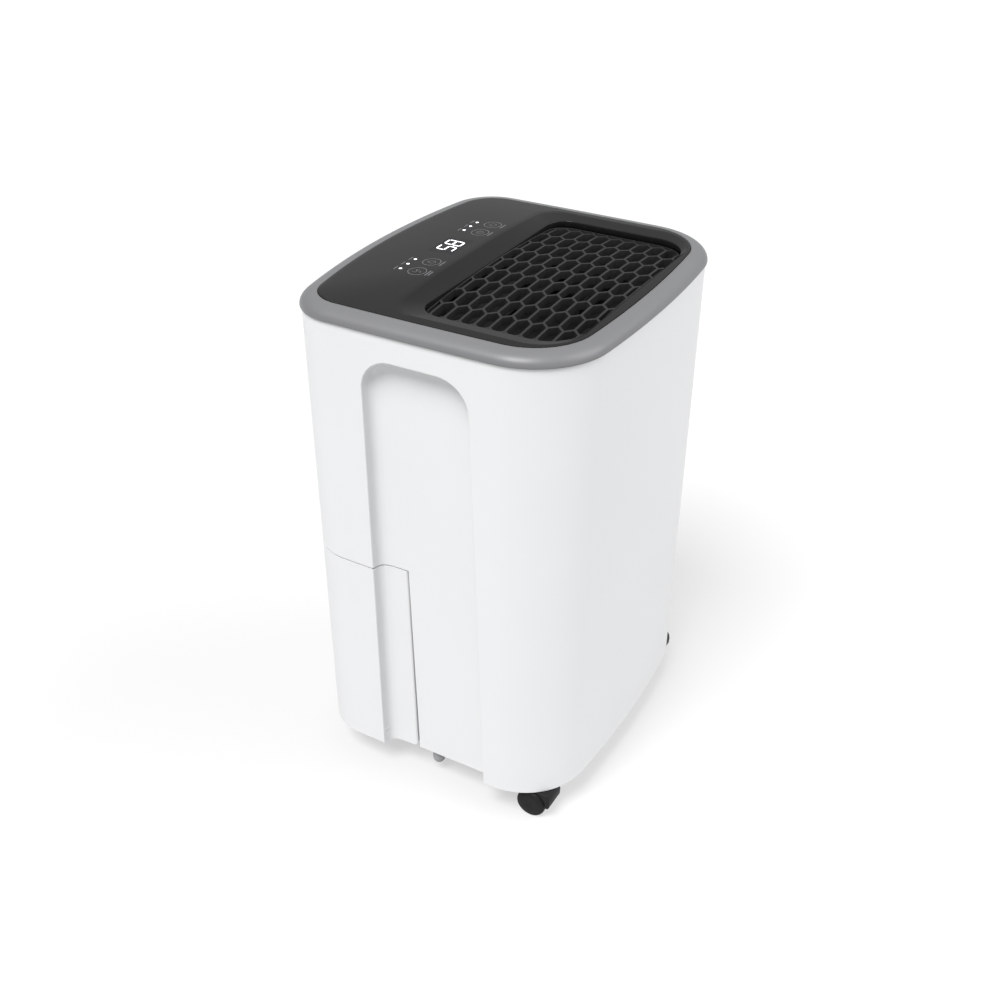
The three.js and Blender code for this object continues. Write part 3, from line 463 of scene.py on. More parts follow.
def quarter(inset, bow, corner, counts):
    # a quarter of the plan, from the middle of the side to the middle of the end
    points = []
    for (centre, radius, start, end), count in zip(quarterArcs(bow, corner), counts):
        reach = radius - inset
        for step in range(count):
            angle = start + (end - start) * step / count
            points.append(Vector((centre.x + reach * cos(angle), centre.y + reach * sin(angle))))
    points.append(Vector((0, plan["halfDepth"] - inset)))
    return points


def planLoop(inset, counts):
    rear = quarter(inset, plan["rearBow"], plan["rearCorner"], counts)
    front = quarter(inset, plan["frontBow"], plan["frontCorner"], counts)
    loop = rear[:-1]
    loop += [Vector((-p.x, p.y)) for p in reversed(rear)][:-1]
    loop += [Vector((-p.x, -p.y)) for p in front][:-1]
    loop += [Vector((p.x, -p.y)) for p in reversed(front)][:-1]
    return loop


def sideReach(y):
    return plan["halfWidth"] - plan["sideBow"] + sqrt(plan["sideBow"] ** 2 - y ** 2)


def drafted(bm):
    # the mould's draft: narrower towards the bottom
    for vert in bm.verts:
        drop = max(0.0, plan["top"] - vert.co.z / mm) / (plan["top"] - plan["bottom"])
        vert.co.x *= 1 - drop * plan["draftX"] / plan["halfWidth"]
        vert.co.y *= 1 - drop * plan["draftY"] / plan["halfDepth"]


# Across the recess's edge: distance outwards from the edge and depth below the side. The front and top
# take the crisp one, the back takes the soft one.
crispEdge = [(5.0, 0), (2.4, 0), (1.1, 0.0), (0.55, 0.12), (0.18, 0.5), (0.0, 1.2), (-0.35, 5.6), (-0.7, 10.0),
             (-0.95, 11.4), (-1.6, 12.4), (-2.7, 13.0), (-4.2, 13.2), (-6.0, 13.2)]
softEdge = [(5.0, 0), (2.2, 0), (1.3, 0.0), (0.8, 0.15), (0.35, 0.6), (0.0, 1.5), (-0.7, 4.0), (-1.6, 6.8),
            (-3.3, 9.4), (-6.3, 11.4), (-11.0, 12.6), (-18.0, 13.1), (-26.0, 13.2)]


def recessPath():
    # the recess's edge, from the bottom at the front, over the top, to the bottom at the back
    low, high = plan["bottom"], recess["top"] - recess["corner"]
    slope = (recess["frontTop"] - recess["frontBottom"]) / (recess["top"] - low)
    steps = recess["heightSteps"]
    levels = [low + (high - low) * k / steps for k in range(steps + 1)]
    path = []

    def frontAt(z):
        return recess["frontTop"] - slope * (recess["top"] - z)

    def note(edge, normal, softness, rim):
        path.append({"edge": Vector(edge), "normal": Vector(normal), "softness": softness,
                     "rim": Vector(rim)})

    def corner(centre, fromAngle, toAngle, side, softFrom, softTo):
        for step in range(1, recess["arcSteps"]):
            t = step / recess["arcSteps"]
            angle = fromAngle + (toAngle - fromAngle) * t
            normal = Vector((cos(angle), sin(angle)))
            climb = t if side < 0 else 1 - t
            flatY = recess["patchFront"] if side < 0 else recess["patchBack"]
            rimY = flatY if climb <= 0.5 else flatY + (centre.x - flatY) * (climb - 0.5) * 2
            rimZ = high + (recess["patchTop"] - high) * min(1, climb * 2)
            note(centre + normal * recess["corner"], normal, softFrom + (softTo - softFrom) * t, (rimY, rimZ))

    for z in levels:
        note((frontAt(z), z), (-1, 0), 0.0, (recess["patchFront"], z))
    frontCentre = Vector((frontAt(high) + recess["corner"], high))
    backCentre = Vector((recess["back"] - recess["corner"], high))
    corner(frontCentre, pi, pi / 2, -1, 0.0, 0.0)
    for k in range(recess["topSteps"] + 1):
        y = frontCentre.x + (backCentre.x - frontCentre.x) * k / recess["topSteps"]
        note((y, recess["top"]), (0, 1), 0.0, (y, recess["patchTop"]))
    corner(backCentre, pi / 2, 0.0, 1, 0.0, 1.0)
    for z in reversed(levels):
        note((recess["back"], z), (1, 0), 1.0, (recess["patchBack"], z))
    return path, levels


def recessPatch(bm, side):
    path = recessPath()[0]

    def place(y, z, depth):
        return Vector((side * min(sideReach(y), plan["halfWidth"] - depth), y, z))

    def between(crisp, soft, softness):
        return [a + (b - a) * softness for a, b in zip(crisp, soft)]

    rows = [[place(p["rim"].x, p["rim"].y, 0) for p in path]]
    reach = [between(crispEdge[0], softEdge[0], p["softness"])[0] for p in path]
    first = [p["edge"] + p["normal"] * away for p, away in zip(path, reach)]
    for share in recess["patchShares"]:
        rows.append([place(*(p["rim"].lerp(q, share)), 0) for p, q in zip(path, first)])
    for crisp, soft in zip(crispEdge, softEdge):
        row = []
        for p in path:
            away, depth = between(crisp, soft, p["softness"])
            spot = p["edge"] + p["normal"] * away
            row.append(place(spot.x, spot.y, depth))
        rows.append(row)
    bm.faces.new(sweepRows(bm, rows, closed=False)[-1])


def bodySurface():
    # the whole outer surface of housing and tank together, before they are parted
    bm = bmesh.new()
    levels = recessPath()[1]
    climb = (recess["patchTop"] - levels[-1]) / recess["patchSteps"]
    heights = levels + [levels[-1] + climb * k for k in range(1, recess["patchSteps"] + 1)]
    for end, edgeY, flip in (("front", recess["patchFront"], -1), ("rear", recess["patchBack"], 1)):
        points = quarter(0, plan[end + "Bow"], plan[end + "Corner"], plan["counts"])
        beyond = [p for p in points if p.y > abs(edgeY) + 1]
        half = [Vector((sideReach(edgeY), abs(edgeY)))] + beyond
        strip = half + [Vector((-p.x, p.y)) for p in reversed(half)][1:]
        rows = [[Vector((p.x, flip * p.y, z)) for z in heights] for p in strip]
        sweepRows(bm, rows, closed=False)
    for side in (-1, 1):
        recessPatch(bm, side)
    bmesh.ops.remove_doubles(bm, verts=bm.verts, dist=0.01 * mm)
    rim = [e for e in bm.edges if atLevel(e, recess["patchTop"])]
    for height in (*plan["upperLevels"], plan["top"]):
        grown = bmesh.ops.extrude_edge_only(bm, edges=rim)["geom"]
        fresh = vertsOf(grown)
        for vert in fresh:
            vert.co.z = height * mm
        rim = [e for e in grown if isinstance(e, bmesh.types.BMEdge) and all(v in fresh for v in e.verts)]
    outwards(bm)
    return bm


def seamPlane(front, inwards=0.0):
    # the plane in front of the tank, which leans a little; front is its y at the top and at the bottom
    high, low = front
    lean = Vector((0, high - low, seam["tankTop"] - plan["bottom"]))
    normal = Vector((1, 0, 0)).cross(lean).normalized()
    normal = -normal if normal.y < 0 else normal
    return (0, high + inwards, seam["tankTop"]), tuple(normal)


def heightOver(point, plane):
    return (point - Vector(plane[0])).dot(Vector(plane[1]))


def liesOn(edge, plane):
    return all(abs(heightOver(vert.co / mm, plane)) < 0.01 for vert in edge.verts)


walls = {"thickness": 2.6, "sleeveEdge": 0.55, "tankEdge": 0.6, "edgeSteps": 3, "edgeAngle": 62, "smooth": 60,
         "windowGap": 0.4, "rearFrom": 100}


def scoreBack(bm, across, up):
    # cut a rectangle's outline into the rear face, and return the test for what lies inside it
    def rearFaces():
        return [f for f in bm.faces if f.calc_center_median().y / mm > walls["rearFrom"]]

    for x in across:
        cutPlane(bm, (x, 0, 0), (1, 0, 0), rearFaces())
    for z in up:
        cutPlane(bm, (0, 0, z), (0, 0, 1), rearFaces())
    return lambda c: c.y > walls["rearFrom"] and across[0] < c.x < across[1] and up[0] < c.z < up[1]


def housingShell():
    bm = bodySurface()
    plane = seamPlane(seam["sleeveFront"])
    cutPlane(bm, (0, 0, seam["sleeveEdge"]), (0, 0, 1))
    cutPlane(bm, *plane)
    dropFaces(bm, lambda c: c.z < seam["sleeveEdge"] and heightOver(c, plane) > 0)
    drafted(bm)
    low, high = (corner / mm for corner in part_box("intake_grille"))
    gap = walls["windowGap"]
    inWindow = scoreBack(bm, (low.x - gap, high.x + gap), (low.z - gap, high.z + gap))
    dropFaces(bm, inWindow)
    piece = pieceFrom(bm, "housingShell", walls["smooth"])
    thicken(piece, walls["thickness"])
    softenEdges(piece, walls["sleeveEdge"], walls["edgeSteps"], walls["edgeAngle"])
    finished(piece, "white", "white_plastic", "cabinet", "housing_sleeve")
    print("housing shell done")


tank = {"frontEdge": 2.4, "frontSteps": 4, "frontAngle": 60,
        "foot": {"y": 27.6, "z": 38.0, "radius": 6.0, "steps": 6},
        "grip": {"halfWidth": 48.0, "low": 170.0, "high": 200.0, "depth": 15.0, "taper": (0.95, 1, 0.82)},
        "floor": {"level": 47.2, "inwards": 1.3, "share": 0.992, "thickness": 2.4}}


def tankShell():
    bm = bodySurface()
    plane = seamPlane(seam["tankFront"])
    cutPlane(bm, (0, 0, seam["tankTop"]), (0, 0, 1))
    cutPlane(bm, *plane)
    dropFaces(bm, lambda c: c.z > seam["tankTop"] or heightOver(c, plane) <= 0)
    bmesh.ops.bridge_loops(bm, edges=[e for e in bm.edges if e.is_boundary and liesOn(e, plane)])
    bmesh.ops.recalc_face_normals(bm, faces=bm.faces)
    limit = radians(tank["frontAngle"])
    sharp = [e for e in bm.edges if e.calc_face_angle(0) > limit and liesOn(e, plane)]
    roundEdges(bm, sharp, tank["frontEdge"], tank["frontSteps"])
    roundFoot(bm)
    drafted(bm)
    gripPocket(bm)
    outwards(bm)
    piece = pieceFrom(bm, "tankShell", walls["smooth"])
    thicken(piece, walls["thickness"])
    softenEdges(piece, walls["tankEdge"], walls["edgeSteps"], walls["edgeAngle"])
    finished(piece, "white", "white_plastic", "tank", "tank_bucket")
    tankFloor()
    print("tank shell done")


def roundFoot(bm):
    # the round at the lower front corner, cut as a row of flats
    foot = tank["foot"]
    for step in range(1, foot["steps"]):
        angle = pi / 2 * step / foot["steps"]
        away = (0, -cos(angle), -sin(angle))
        touch = (0, foot["y"] + foot["radius"] * away[1], foot["z"] + foot["radius"] * away[2])
        cutPlane(bm, touch, away)
        dropFaces(bm, lambda c: heightOver(c, (touch, away)) > 0.001)


def gripPocket(bm):
    # the finger pocket at the back, pushed in and narrowed towards its floor
    grip = tank["grip"]
    inGrip = scoreBack(bm, (-grip["halfWidth"], grip["halfWidth"]), (grip["low"], grip["high"]))
    pocket = [f for f in bm.faces if inGrip(f.calc_center_median() / mm)]
    floorVerts = vertsOf(bmesh.ops.extrude_face_region(bm, geom=pocket)["geom"])
    bmesh.ops.delete(bm, geom=pocket, context="FACES")
    bmesh.ops.translate(bm, vec=(0, -grip["depth"] * mm, 0), verts=floorVerts)
    middle = Vector((0, 0, (grip["low"] + grip["high"]) / 2 * mm))
    bmesh.ops.scale(bm, vec=grip["taper"], space=Matrix.Translation(-middle), verts=floorVerts)


def tankFloor():
    bm = bodySurface()
    floor = tank["floor"]
    plane = seamPlane(seam["tankFront"], floor["inwards"])
    cutPlane(bm, *plane)
    dropFaces(bm, lambda c: heightOver(c, plane) <= 0)
    bmesh.ops.bisect_plane(bm, geom=everything(bm), dist=1e-7, plane_co=(0, 0, floor["level"] * mm),
                           plane_no=(0, 0, 1), clear_outer=True)
    edges = [e for e in bm.edges if atLevel(e, floor["level"])]
    below = [v for v in bm.verts if v.co.z / mm < floor["level"] - 0.01]
    bmesh.ops.delete(bm, geom=below, context="VERTS")
    bmesh.ops.contextual_create(bm, geom=[e for e in edges if e.is_valid])
    bmesh.ops.scale(bm, vec=(floor["share"], floor["share"], 1), verts=bm.verts)
    drafted(bm)
    outwards(bm)
    piece = pieceFrom(bm, "tankFloor")
    thicken(piece, floor["thickness"], 0)
    finished(piece, "white", "white_plastic", "tank")


ring = {"inset": 14.3, "overhang": 1.7, "low": 487.3, "high": 498.6, "wall": 2.6, "steps": 12, "rise": 0.5,
        "counts": (8, 18, 14), "innerEdge": ((-0.5, 0), (-0.1, -0.35), (0, -0.9), (0, -4.5)),
        "lowerEdge": ((0.5, 0), (0.12, 0.15)),
        "hollow": {"inwards": 1.4, "lift": 0.2, "drop": 2.2, "steps": 4}}


def trimRing():
    def arc(inset, low, across, up, steps):
        angles = [pi / 2 * k / steps for k in range(steps)]
        return [(inset - across * cos(angle), low + up * sin(angle)) for angle in angles]

    inset, low, high, hollow = ring["inset"], ring["low"], ring["high"], ring["hollow"]
    reach, height = inset + ring["overhang"], high - low
    profile = arc(inset, low + ring["rise"], reach, height - ring["rise"], ring["steps"])
    profile += [(inset + across, high + up) for across, up in ring["innerEdge"]]
    profile += reversed(arc(inset - hollow["inwards"], low + hollow["lift"],
                            reach - ring["wall"] - hollow["inwards"],
                            height - ring["wall"] - hollow["drop"], hollow["steps"]))
    profile += [(across - ring["overhang"], low + up) for across, up in ring["lowerEdge"]]
    bm = bmesh.new()
    sweepRows(bm, [atHeight(planLoop(inset, ring["counts"]), z) for inset, z in profile], wrapped=True)
    outwards(bm)
    finished(pieceFrom(bm, "trimRing", 50), "grey", "grey_plastic", "cabinet", "top_ring")
    print("trim ring done")


# The panel. Its rows run from the skirt over the crown to the crease, down the ramp and over the lip.
panel = {
    "inset": 14.7, "edge": 498.6, "crown": 6.2, "lipHeight": 497.0, "wall": 2.4, "creaseStep": 0.22,
    "counts": (10, 22, 18), "outlineCounts": (4, 24, 10),
    "crease": rect(-142.5, 142.5, -123.0, 40.0, 42.0, 24.0),
    "lip": rect(-128.0, 128.0, -120.0, 21.0, 34.0, 20.0),
    "rimRows": ((0.0, 7.6), (0.0, 0.7), (0.2, 0.2)),
    "crownShares": (0.012, 0.05, 0.12, 0.22, 0.34, 0.46, 0.58, 0.7, 0.8, 0.88, 0.94, 0.98),
    "rampShares": (0.0, 0.04, 0.12, 0.3, 0.5, 0.7, 0.9, 0.97),
    "lipRows": ((0.25, 0.02), (0.05, 0.25), (0.0, 0.7), (0.0, 9.0)),
}
panelOutline = planLoop(panel["inset"], panel["outlineCounts"])


def domeHeight(x, y):
    # the panel's crown: highest in the middle, falling with the square of the share of the way out
    away = hypot(x, y)
    if away < 1e-6:
        return panel["edge"] + panel["crown"]
    dx, dy = x / away, y / away
    reach = 0.0
    for p, q in neighbours(panelOutline, True):
        ex, ey = q.x - p.x, q.y - p.y
        across = dx * ey - dy * ex
        if abs(across) < 1e-9:
            continue
        distance = (p.x * ey - p.y * ex) / across
        share = (p.x * dy - p.y * dx) / across
        if distance > 0 and -1e-6 <= share <= 1 + 1e-6:
            reach = max(reach, distance)
    return panel["edge"] + panel["crown"] * (1 - min(1.0, away / reach) ** 2)


def rectLoop(sizes, counts, grow=0.0):
    # a rectangle with round corners, with as many points on each quarter as planLoop has
    side, corner, end = counts
    loop = []
    for sx, sy, name in ((1, 1, "rear"), (-1, 1, "rear"), (-1, -1, "front"), (1, -1, "front")):
        x = (sizes["right"] if sx > 0 else sizes["left"]) + sx * grow
        y = sizes[name] + sy * grow
        middleY = (sizes["rear"] + sizes["front"]) / 2
        radius = max(0.5, sizes[name + "Corner"] + grow)
        points = [Vector((x, middleY + (y - sy * radius - middleY) * k / side)) for k in range(side)]
        for k in range(corner):
            angle = pi / 2 * k / corner
            arc = (x - sx * radius * (1 - cos(angle)), y - sy * radius * (1 - sin(angle)))
            points.append(Vector(arc))
        points += [Vector(((x - sx * radius) * (1 - k / end), y)) for k in range(end)]
        points.append(Vector((0, y)))
        loop += points[:-1] if sx * sy > 0 else list(reversed(points))[:-1]
    return loop


def panelSkin():
    def onCrown(p):
        return Vector((p.x, p.y, domeHeight(p.x, p.y)))

    counts, inset = panel["counts"], panel["inset"]
    outer = planLoop(inset, counts)
    crease = rectLoop(panel["crease"], counts)
    creaseTop = [onCrown(p) for p in crease]
    lipTop = atHeight(rectLoop(panel["lip"], counts), panel["lipHeight"])
    rows = [atHeight(planLoop(inset + grow, counts), panel["edge"] - drop) for grow, drop in panel["rimRows"]]
    for share in panel["crownShares"]:
        rows.append([onCrown(o.lerp(c, share)) for o, c in zip(outer, crease)])
    for share in panel["rampShares"]:
        step = Vector((0, 0, 0 if share else panel["creaseStep"]))
        rows.append([c.lerp(q, share) - step for c, q in zip(creaseTop, lipTop)])
    for grow, drop in panel["lipRows"]:
        rows.append(atHeight(rectLoop(panel["lip"], counts, grow), panel["lipHeight"] - drop))
    bm = bmesh.new()
    sweepRows(bm, rows)
    outwards(bm)
    piece = pieceFrom(bm, "panelSkin", 40)
    thicken(piece, panel["wall"])
    finished(piece, "gloss", "panel_gloss", "cabinet", "control_panel")
    print("panel done")


grille = {"flat": 20.0, "slant": 6.4, "pitch": 14.3, "rib": 2.3, "depth": 7.0, "drop": 6.0, "sink": 0.4,
          "margin": 0.5, "counts": (1, 7, 1), "reach": 6, "smallestCell": 45, "longestEdge": 12, "edge": 0.45}


def honeycomb():
    # cells laid edge to edge, trimmed to the opening, each inset to leave the ribs
    sizes = panel["lip"]
    bm = bmesh.new()
    pitchX = grille["flat"] + grille["slant"]
    halfFlat, halfHigh = grille["flat"] / 2, grille["pitch"] / 2
    tip = halfFlat + grille["slant"]
    cell = [(tip, 0), (halfFlat, halfHigh), (-halfFlat, halfHigh), (-tip, 0), (-halfFlat, -halfHigh),
            (halfFlat, -halfHigh)]
    middle = (sizes["front"] + sizes["rear"]) / 2
    for column in range(-grille["reach"], grille["reach"] + 1):
        for row in range(-grille["reach"], grille["reach"] + 1):
            x = column * pitchX
            y = middle + (row + (column % 2) / 2) * grille["pitch"]
            flatFace(bm, [(x + dx, y + dy) for dx, dy in cell])
    bmesh.ops.remove_doubles(bm, verts=bm.verts, dist=0.05 * mm)
    for p, q in neighbours(rectLoop(sizes, grille["counts"], -grille["margin"]), True):
        edge = q - p
        if edge.length < 0.01:
            continue
        normal = Vector((edge.y, -edge.x, 0)).normalized()
        bmesh.ops.bisect_plane(bm, geom=everything(bm), dist=1e-6, plane_co=Vector((p.x, p.y, 0)) * mm,
                               plane_no=normal, clear_outer=True)
    slivers = [f for f in bm.faces if f.calc_area() / mm ** 2 < grille["smallestCell"]]
    whole = [f for f in bm.faces if f not in slivers]
    inset = bmesh.ops.inset_individual(bm, faces=whole, thickness=grille["rib"] / 2 * mm,
                                       use_even_offset=True)
    ribs = set(inset["faces"]) | set(slivers)
    bmesh.ops.delete(bm, geom=[f for f in bm.faces if f not in ribs], context="FACES")
    long = [e for e in bm.edges if e.calc_length() > grille["longestEdge"] * mm]
    bmesh.ops.subdivide_edges(bm, edges=long, cuts=1)
    for vert in bm.verts:
        sag = grille["drop"] * (vert.co.x / mm / sizes["right"]) ** 2
        vert.co.z = (panel["lipHeight"] - grille["sink"] - sag) * mm
    outwards(bm)
    if sum(f.normal.z for f in bm.faces) < 0:
        bmesh.ops.reverse_faces(bm, faces=bm.faces)
    piece = pieceFrom(bm, "honeycomb", 30)
    thicken(piece, grille["depth"])
    softenEdges(piece, grille["edge"], 2, 50)
    finished(piece, "grille", "dark_plastic", "cabinet", "outlet_grille")
    print("honeycomb done")


duct = {"counts": (2, 8, 4), "wall": 1.6, "throatLevel": 462.0,
        "hopper": ((2.0, 489.0), (2.0, 480.0), (-20.0, 472.0), (-36.0, 466.0)),
        "throat": rect(-8.0, 90.0, -70.0, -6.0, 4.0, 4.0)}


def outletDuct():
    # the dark hopper that gathers the fan's throat up to the outlet
    levels = [(panel["lip"], grow, z) for grow, z in duct["hopper"]]
    levels.append((duct["throat"], 0.0, duct["throatLevel"]))
    bm = bmesh.new()
    sweepRows(bm, [atHeight(rectLoop(sizes, duct["counts"], grow), z) for sizes, grow, z in levels])
    outwards(bm)
    piece = pieceFrom(bm, "outletDuct", 40)
    thicken(piece, duct["wall"], 1)
    finished(piece, "duct", "dark_plastic", "cabinet")
    print("outlet duct done")


# The panel's print and lights. A caption is a dash: half its length, its y and its thickness.
marks = {"dots": (42.5, 54.7, 66.9), "dotRow": 75.7, "dotRadius": 1.5, "pads": (42.6, 66.6), "padRow": 58.4,
         "padRadius": 8.6, "line": 0.75, "thin": 0.6, "lift": 0.06, "thickness": 0.05,
         "dotCaption": (3.6, 80.6, 1.1), "padCaption": (5.5, 47.5, 1.3), "lowCaption": (4.4, 44.9, 1.3)}
# The pads' symbols: arcs are (x, y, radius, steps, arc, start), strokes are two ends.
symbols = (
    {"arcs": [(2.1 * cos(turn), 2.1 * sin(turn), 2.2, 16, pi * 1.3, turn)
              for turn in (0, fullTurn / 3, fullTurn * 2 / 3)], "strokes": []},  # fan
    {"arcs": [(0, -0.9, 3.0, 24, pi * 1.36, -pi * 1.18)],
     "strokes": [(-2.6, 0.2, 0, 4.6), (2.6, 0.2, 0, 4.6)]},  # drop
    {"arcs": [(0, 0, 3.6, 28, fullTurn, 0)], "strokes": [(0, 0, 0, 2.6), (0, 0, 1.9, -0.9)]},  # clock
    {"arcs": [(0, 0, 3.6, 28, pi * 1.6, pi * 0.7)], "strokes": [(0, 1.2, 0, 4.8)]},  # power
)


def flatFace(bm, points):
    bm.faces.new([bm.verts.new((x * mm, y * mm, 0)) for x, y in points])


def disc(bm, x, y, radius, inner, steps, arc=fullTurn, start=0.0):
    # a disc, or a band of it: a radial edge spun about the centre
    ends = [bm.verts.new(((x + reach * cos(start)) * mm, (y + reach * sin(start)) * mm, 0))
            for reach in (inner, radius)]
    edge = bm.edges.new(ends)
    bmesh.ops.spin(bm, geom=[*ends, edge], cent=(x * mm, y * mm, 0), axis=(0, 0, 1), dvec=(0, 0, 0),
                   angle=arc, steps=steps, use_merge=arc == fullTurn, use_duplicate=False)


def stroke(bm, x0, y0, x1, y1, width):
    along = Vector((x1 - x0, y1 - y0)).normalized()
    side = Vector((-along.y, along.x)) * width / 2
    flatFace(bm, [(x0 + side.x, y0 + side.y), (x0 - side.x, y0 - side.y),
                  (x1 - side.x, y1 - side.y), (x1 + side.x, y1 + side.y)])


def caption(bm, x, look):
    half, y, width = look
    stroke(bm, x - half, y, x + half, y, width)


def flatPrint(bm, name, finish, lift):
    bmesh.ops.remove_doubles(bm, verts=bm.verts, dist=0.003 * mm)
    bmesh.ops.recalc_face_normals(bm, faces=bm.faces)
    for face in bm.faces:
        if face.normal.z < 0:
            face.normal_flip()
    for vert in bm.verts:
        vert.co.z += (domeHeight(vert.co.x / mm, vert.co.y / mm) + lift) * mm
    piece = pieceFrom(bm, name, 0)
    thicken(piece, marks["thickness"])
    finished(piece, finish, "panel_gloss", "cabinet")


def panelMarks():
    bm = bmesh.new()
    row, thin = marks["padRow"], marks["thin"]
    for side in (-1, 1):
        for x in marks["pads"]:
            disc(bm, side * x, row, marks["padRadius"], marks["padRadius"] - marks["line"], 48)
    inner, outer = marks["pads"]
    for x, symbol in zip((-outer, -inner, inner, outer), symbols):
        for dx, dy, radius, steps, arc, start in symbol["arcs"]:
            disc(bm, x + dx, row + dy, radius, radius - thin, steps, arc, start)
        for x0, y0, x1, y1 in symbol["strokes"]:
            stroke(bm, x + x0, row + y0, x + x1, row + y1, thin)
    for side in (-1, 1):
        for x in marks["dots"]:
            caption(bm, side * x, marks["dotCaption"])
        for x in marks["pads"]:
            caption(bm, side * x, marks["padCaption"])
    caption(bm, -outer, marks["lowCaption"])
    flatPrint(bm, "panelMarks", "ink", marks["lift"])
    dots = bmesh.new()
    for side in (-1, 1):
        for x in marks["dots"]:
            disc(dots, side * x, marks["dotRow"], marks["dotRadius"], 0.0, 20)
    flatPrint(dots, "indicatorLights", "glow", marks["lift"])
    print("panel marks done")


display = {"centre": (0.5, 65.0), "high": 18.6, "wide": 11.4, "pitch": 14.2, "slant": 0.12, "bar": 1.55,
           "gap": 0.3, "shown": ("afgcd", "abcdefg"), "lift": 0.09,
           "window": rect(-19.5, 19.5, -13.0, 13.0, 1.5, 1.5),
           "windowCounts": (4, 5, 6), "windowLift": 0.02}
# The segments' ends, as shares of the figure's half width and half height.
segments = {"a": ((-1, 1), (1, 1)), "b": ((1, 0), (1, 1)), "c": ((1, -1), (1, 0)), "d": ((-1, -1), (1, -1)),
            "e": ((-1, -1), (-1, 0)), "f": ((-1, 0), (-1, 1)), "g": ((-1, 0), (1, 0))}


def displayDigits():
    # two seven-segment figures: every segment is a bar with pointed ends
    centreX, centreY = display["centre"]
    half = display["bar"] / 2
    halfX, halfY = display["wide"] / 2 - half, display["high"] / 2 - half
    bm = bmesh.new()
    for place, shown in zip((-0.5, 0.5), display["shown"]):
        for name in shown:
            p, q = (Vector((x * halfX, y * halfY)) for x, y in segments[name])
            along = (q - p).normalized()
            side = Vector((-along.y, along.x)) * half
            p, q = p + along * display["gap"], q - along * display["gap"]
            shoulder = along * half
            tips = [p, p + shoulder + side, q - shoulder + side, q, q - shoulder - side, p + shoulder - side]
            flatFace(bm, [(t.x + display["slant"] * t.y + centreX + place * display["pitch"], t.y + centreY)
                          for t in tips])
    flatPrint(bm, "displayDigits", "glow", display["lift"])
    window = bmesh.new()
    loop = rectLoop(display["window"], display["windowCounts"])
    flatFace(window, [(p.x + centreX, p.y + centreY) for p in loop])
    flatPrint(window, "displayWindow", "window", display["windowLift"])
    print("display done")


# The wheel's profile is (radius, distance from the middle), the hood's outlines are (y, z) from the axle.
corners = ("front_left", "front_right", "rear_left", "rear_right")
caster = {"radius": 15.0, "trail": 6.0, "clearance": 1.0, "arcFrom": 48, "arcSteps": 12,
          "wheel": [(0, 14.1), (4.2, 14.1), (4.6, 14.4), (8.5, 14.5), (11.6, 14.3), (12.4, 13.9), (13.3, 14.0),
                    (14.2, 13.4), (14.8, 12.4), (15.0, 11.2), (15.0, 5.6), (14.7, 4.5), (13.8, 3.9), (9.0, 3.9),
                    (8.6, 5.2), (4.6, 5.2), (4.2, 3.7), (2.7, 3.7), (2.7, 9.4), (0, 9.4)],
          "cover": [(-18.6, 0), (-19.6, 2), (-20.0, 8), (-19.2, 13.0), (-17.6, 15.7), (-15.4, 16.5),
                    (12.5, 16.5), (13.6, 15.3), (12.2, 12.9)], "coverHalf": 12.6, "coverEdge": 0.9,
          "web": [(-15.5, 3), (-8, -4.5), (0, -6), (6, -3), (8, 4), (9, 15.5), (-15, 15.5)],
          "webHalf": 3.0, "webEdge": 0.8,
          "stem": [(0, 31.0), (3.9, 31.0), (3.9, 42.6), (3.2, 43.6), (0, 43.6)]}


def casterSet(corner):
    stem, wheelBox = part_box("caster_hood_" + corner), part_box("caster_wheel_outer_" + corner)
    x = (stem[0].x + stem[1].x) / 2 / mm
    y = (wheelBox[0].y + wheelBox[1].y) / 2 / mm
    spot = Matrix.Translation(Vector((x, y, caster["radius"])) * mm)
    outside = 1 if x > 0 else -1
    for place, side in (("outer", outside), ("inner", -outside)):
        name = "%s_%s" % (place, corner)
        wheel = turned(caster["wheel"], "casterWheel_" + name, (0, 0, 0), 40, "X")
        wheel.data.transform(spot @ Matrix.Scale(side, 4, (1, 0, 0)))
        if side < 0:
            wheel.data.flip_normals()
        finished(wheel, "nylon", "dark_plastic", "wheels_" + corner, "caster_wheel_" + name)
    hood = casterHood(corner, x, y)
    finished(hood, "nylon", "dark_plastic", "caster_" + corner, "caster_hood_" + corner)


def casterHood(corner, x, y):
    reach, first = caster["radius"] + caster["clearance"], radians(caster["arcFrom"])
    angles = [first + (pi - first) * step / caster["arcSteps"] for step in range(caster["arcSteps"] + 1)]
    outlines = {"cover": caster["cover"] + [(reach * cos(angle), reach * sin(angle)) for angle in angles],
                "web": caster["web"]}
    parts = []
    for name, outline in outlines.items():
        half = caster[name + "Half"]
        points = [(x - half, y + dy, caster["radius"] + dz) for dy, dz in outline]
        parts.append(slab(points, (2 * half, 0, 0), name, caster[name + "Edge"]))
    parts.append(turned(caster["stem"], "stem", (x, y - caster["trail"], 0), 24))
    bm = bmesh.new()
    for part in parts:
        bm.from_mesh(part.data)
        bpy.data.objects.remove(part)
    return pieceFrom(bm, "casterHood_" + corner)


stopProfile = [(0, 12.0), (2.2, 12.3), (4.2, 13.4), (5.6, 15.4), (6.1, 17.6), (6.2, 20), (6.3, 30.4),
               (5.9, 31), (3, 31), (3, 37), (0, 37)]


def stopFoot(side):
    low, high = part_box("stop_foot_" + side)
    middle = (low + high) / 2 / mm
    foot = turned(stopProfile, "stopFoot_" + side, (middle.x, middle.y, 0), 32)
    finished(foot, "greyRubber", "grey_rubber", "cabinet", "stop_foot_" + side)


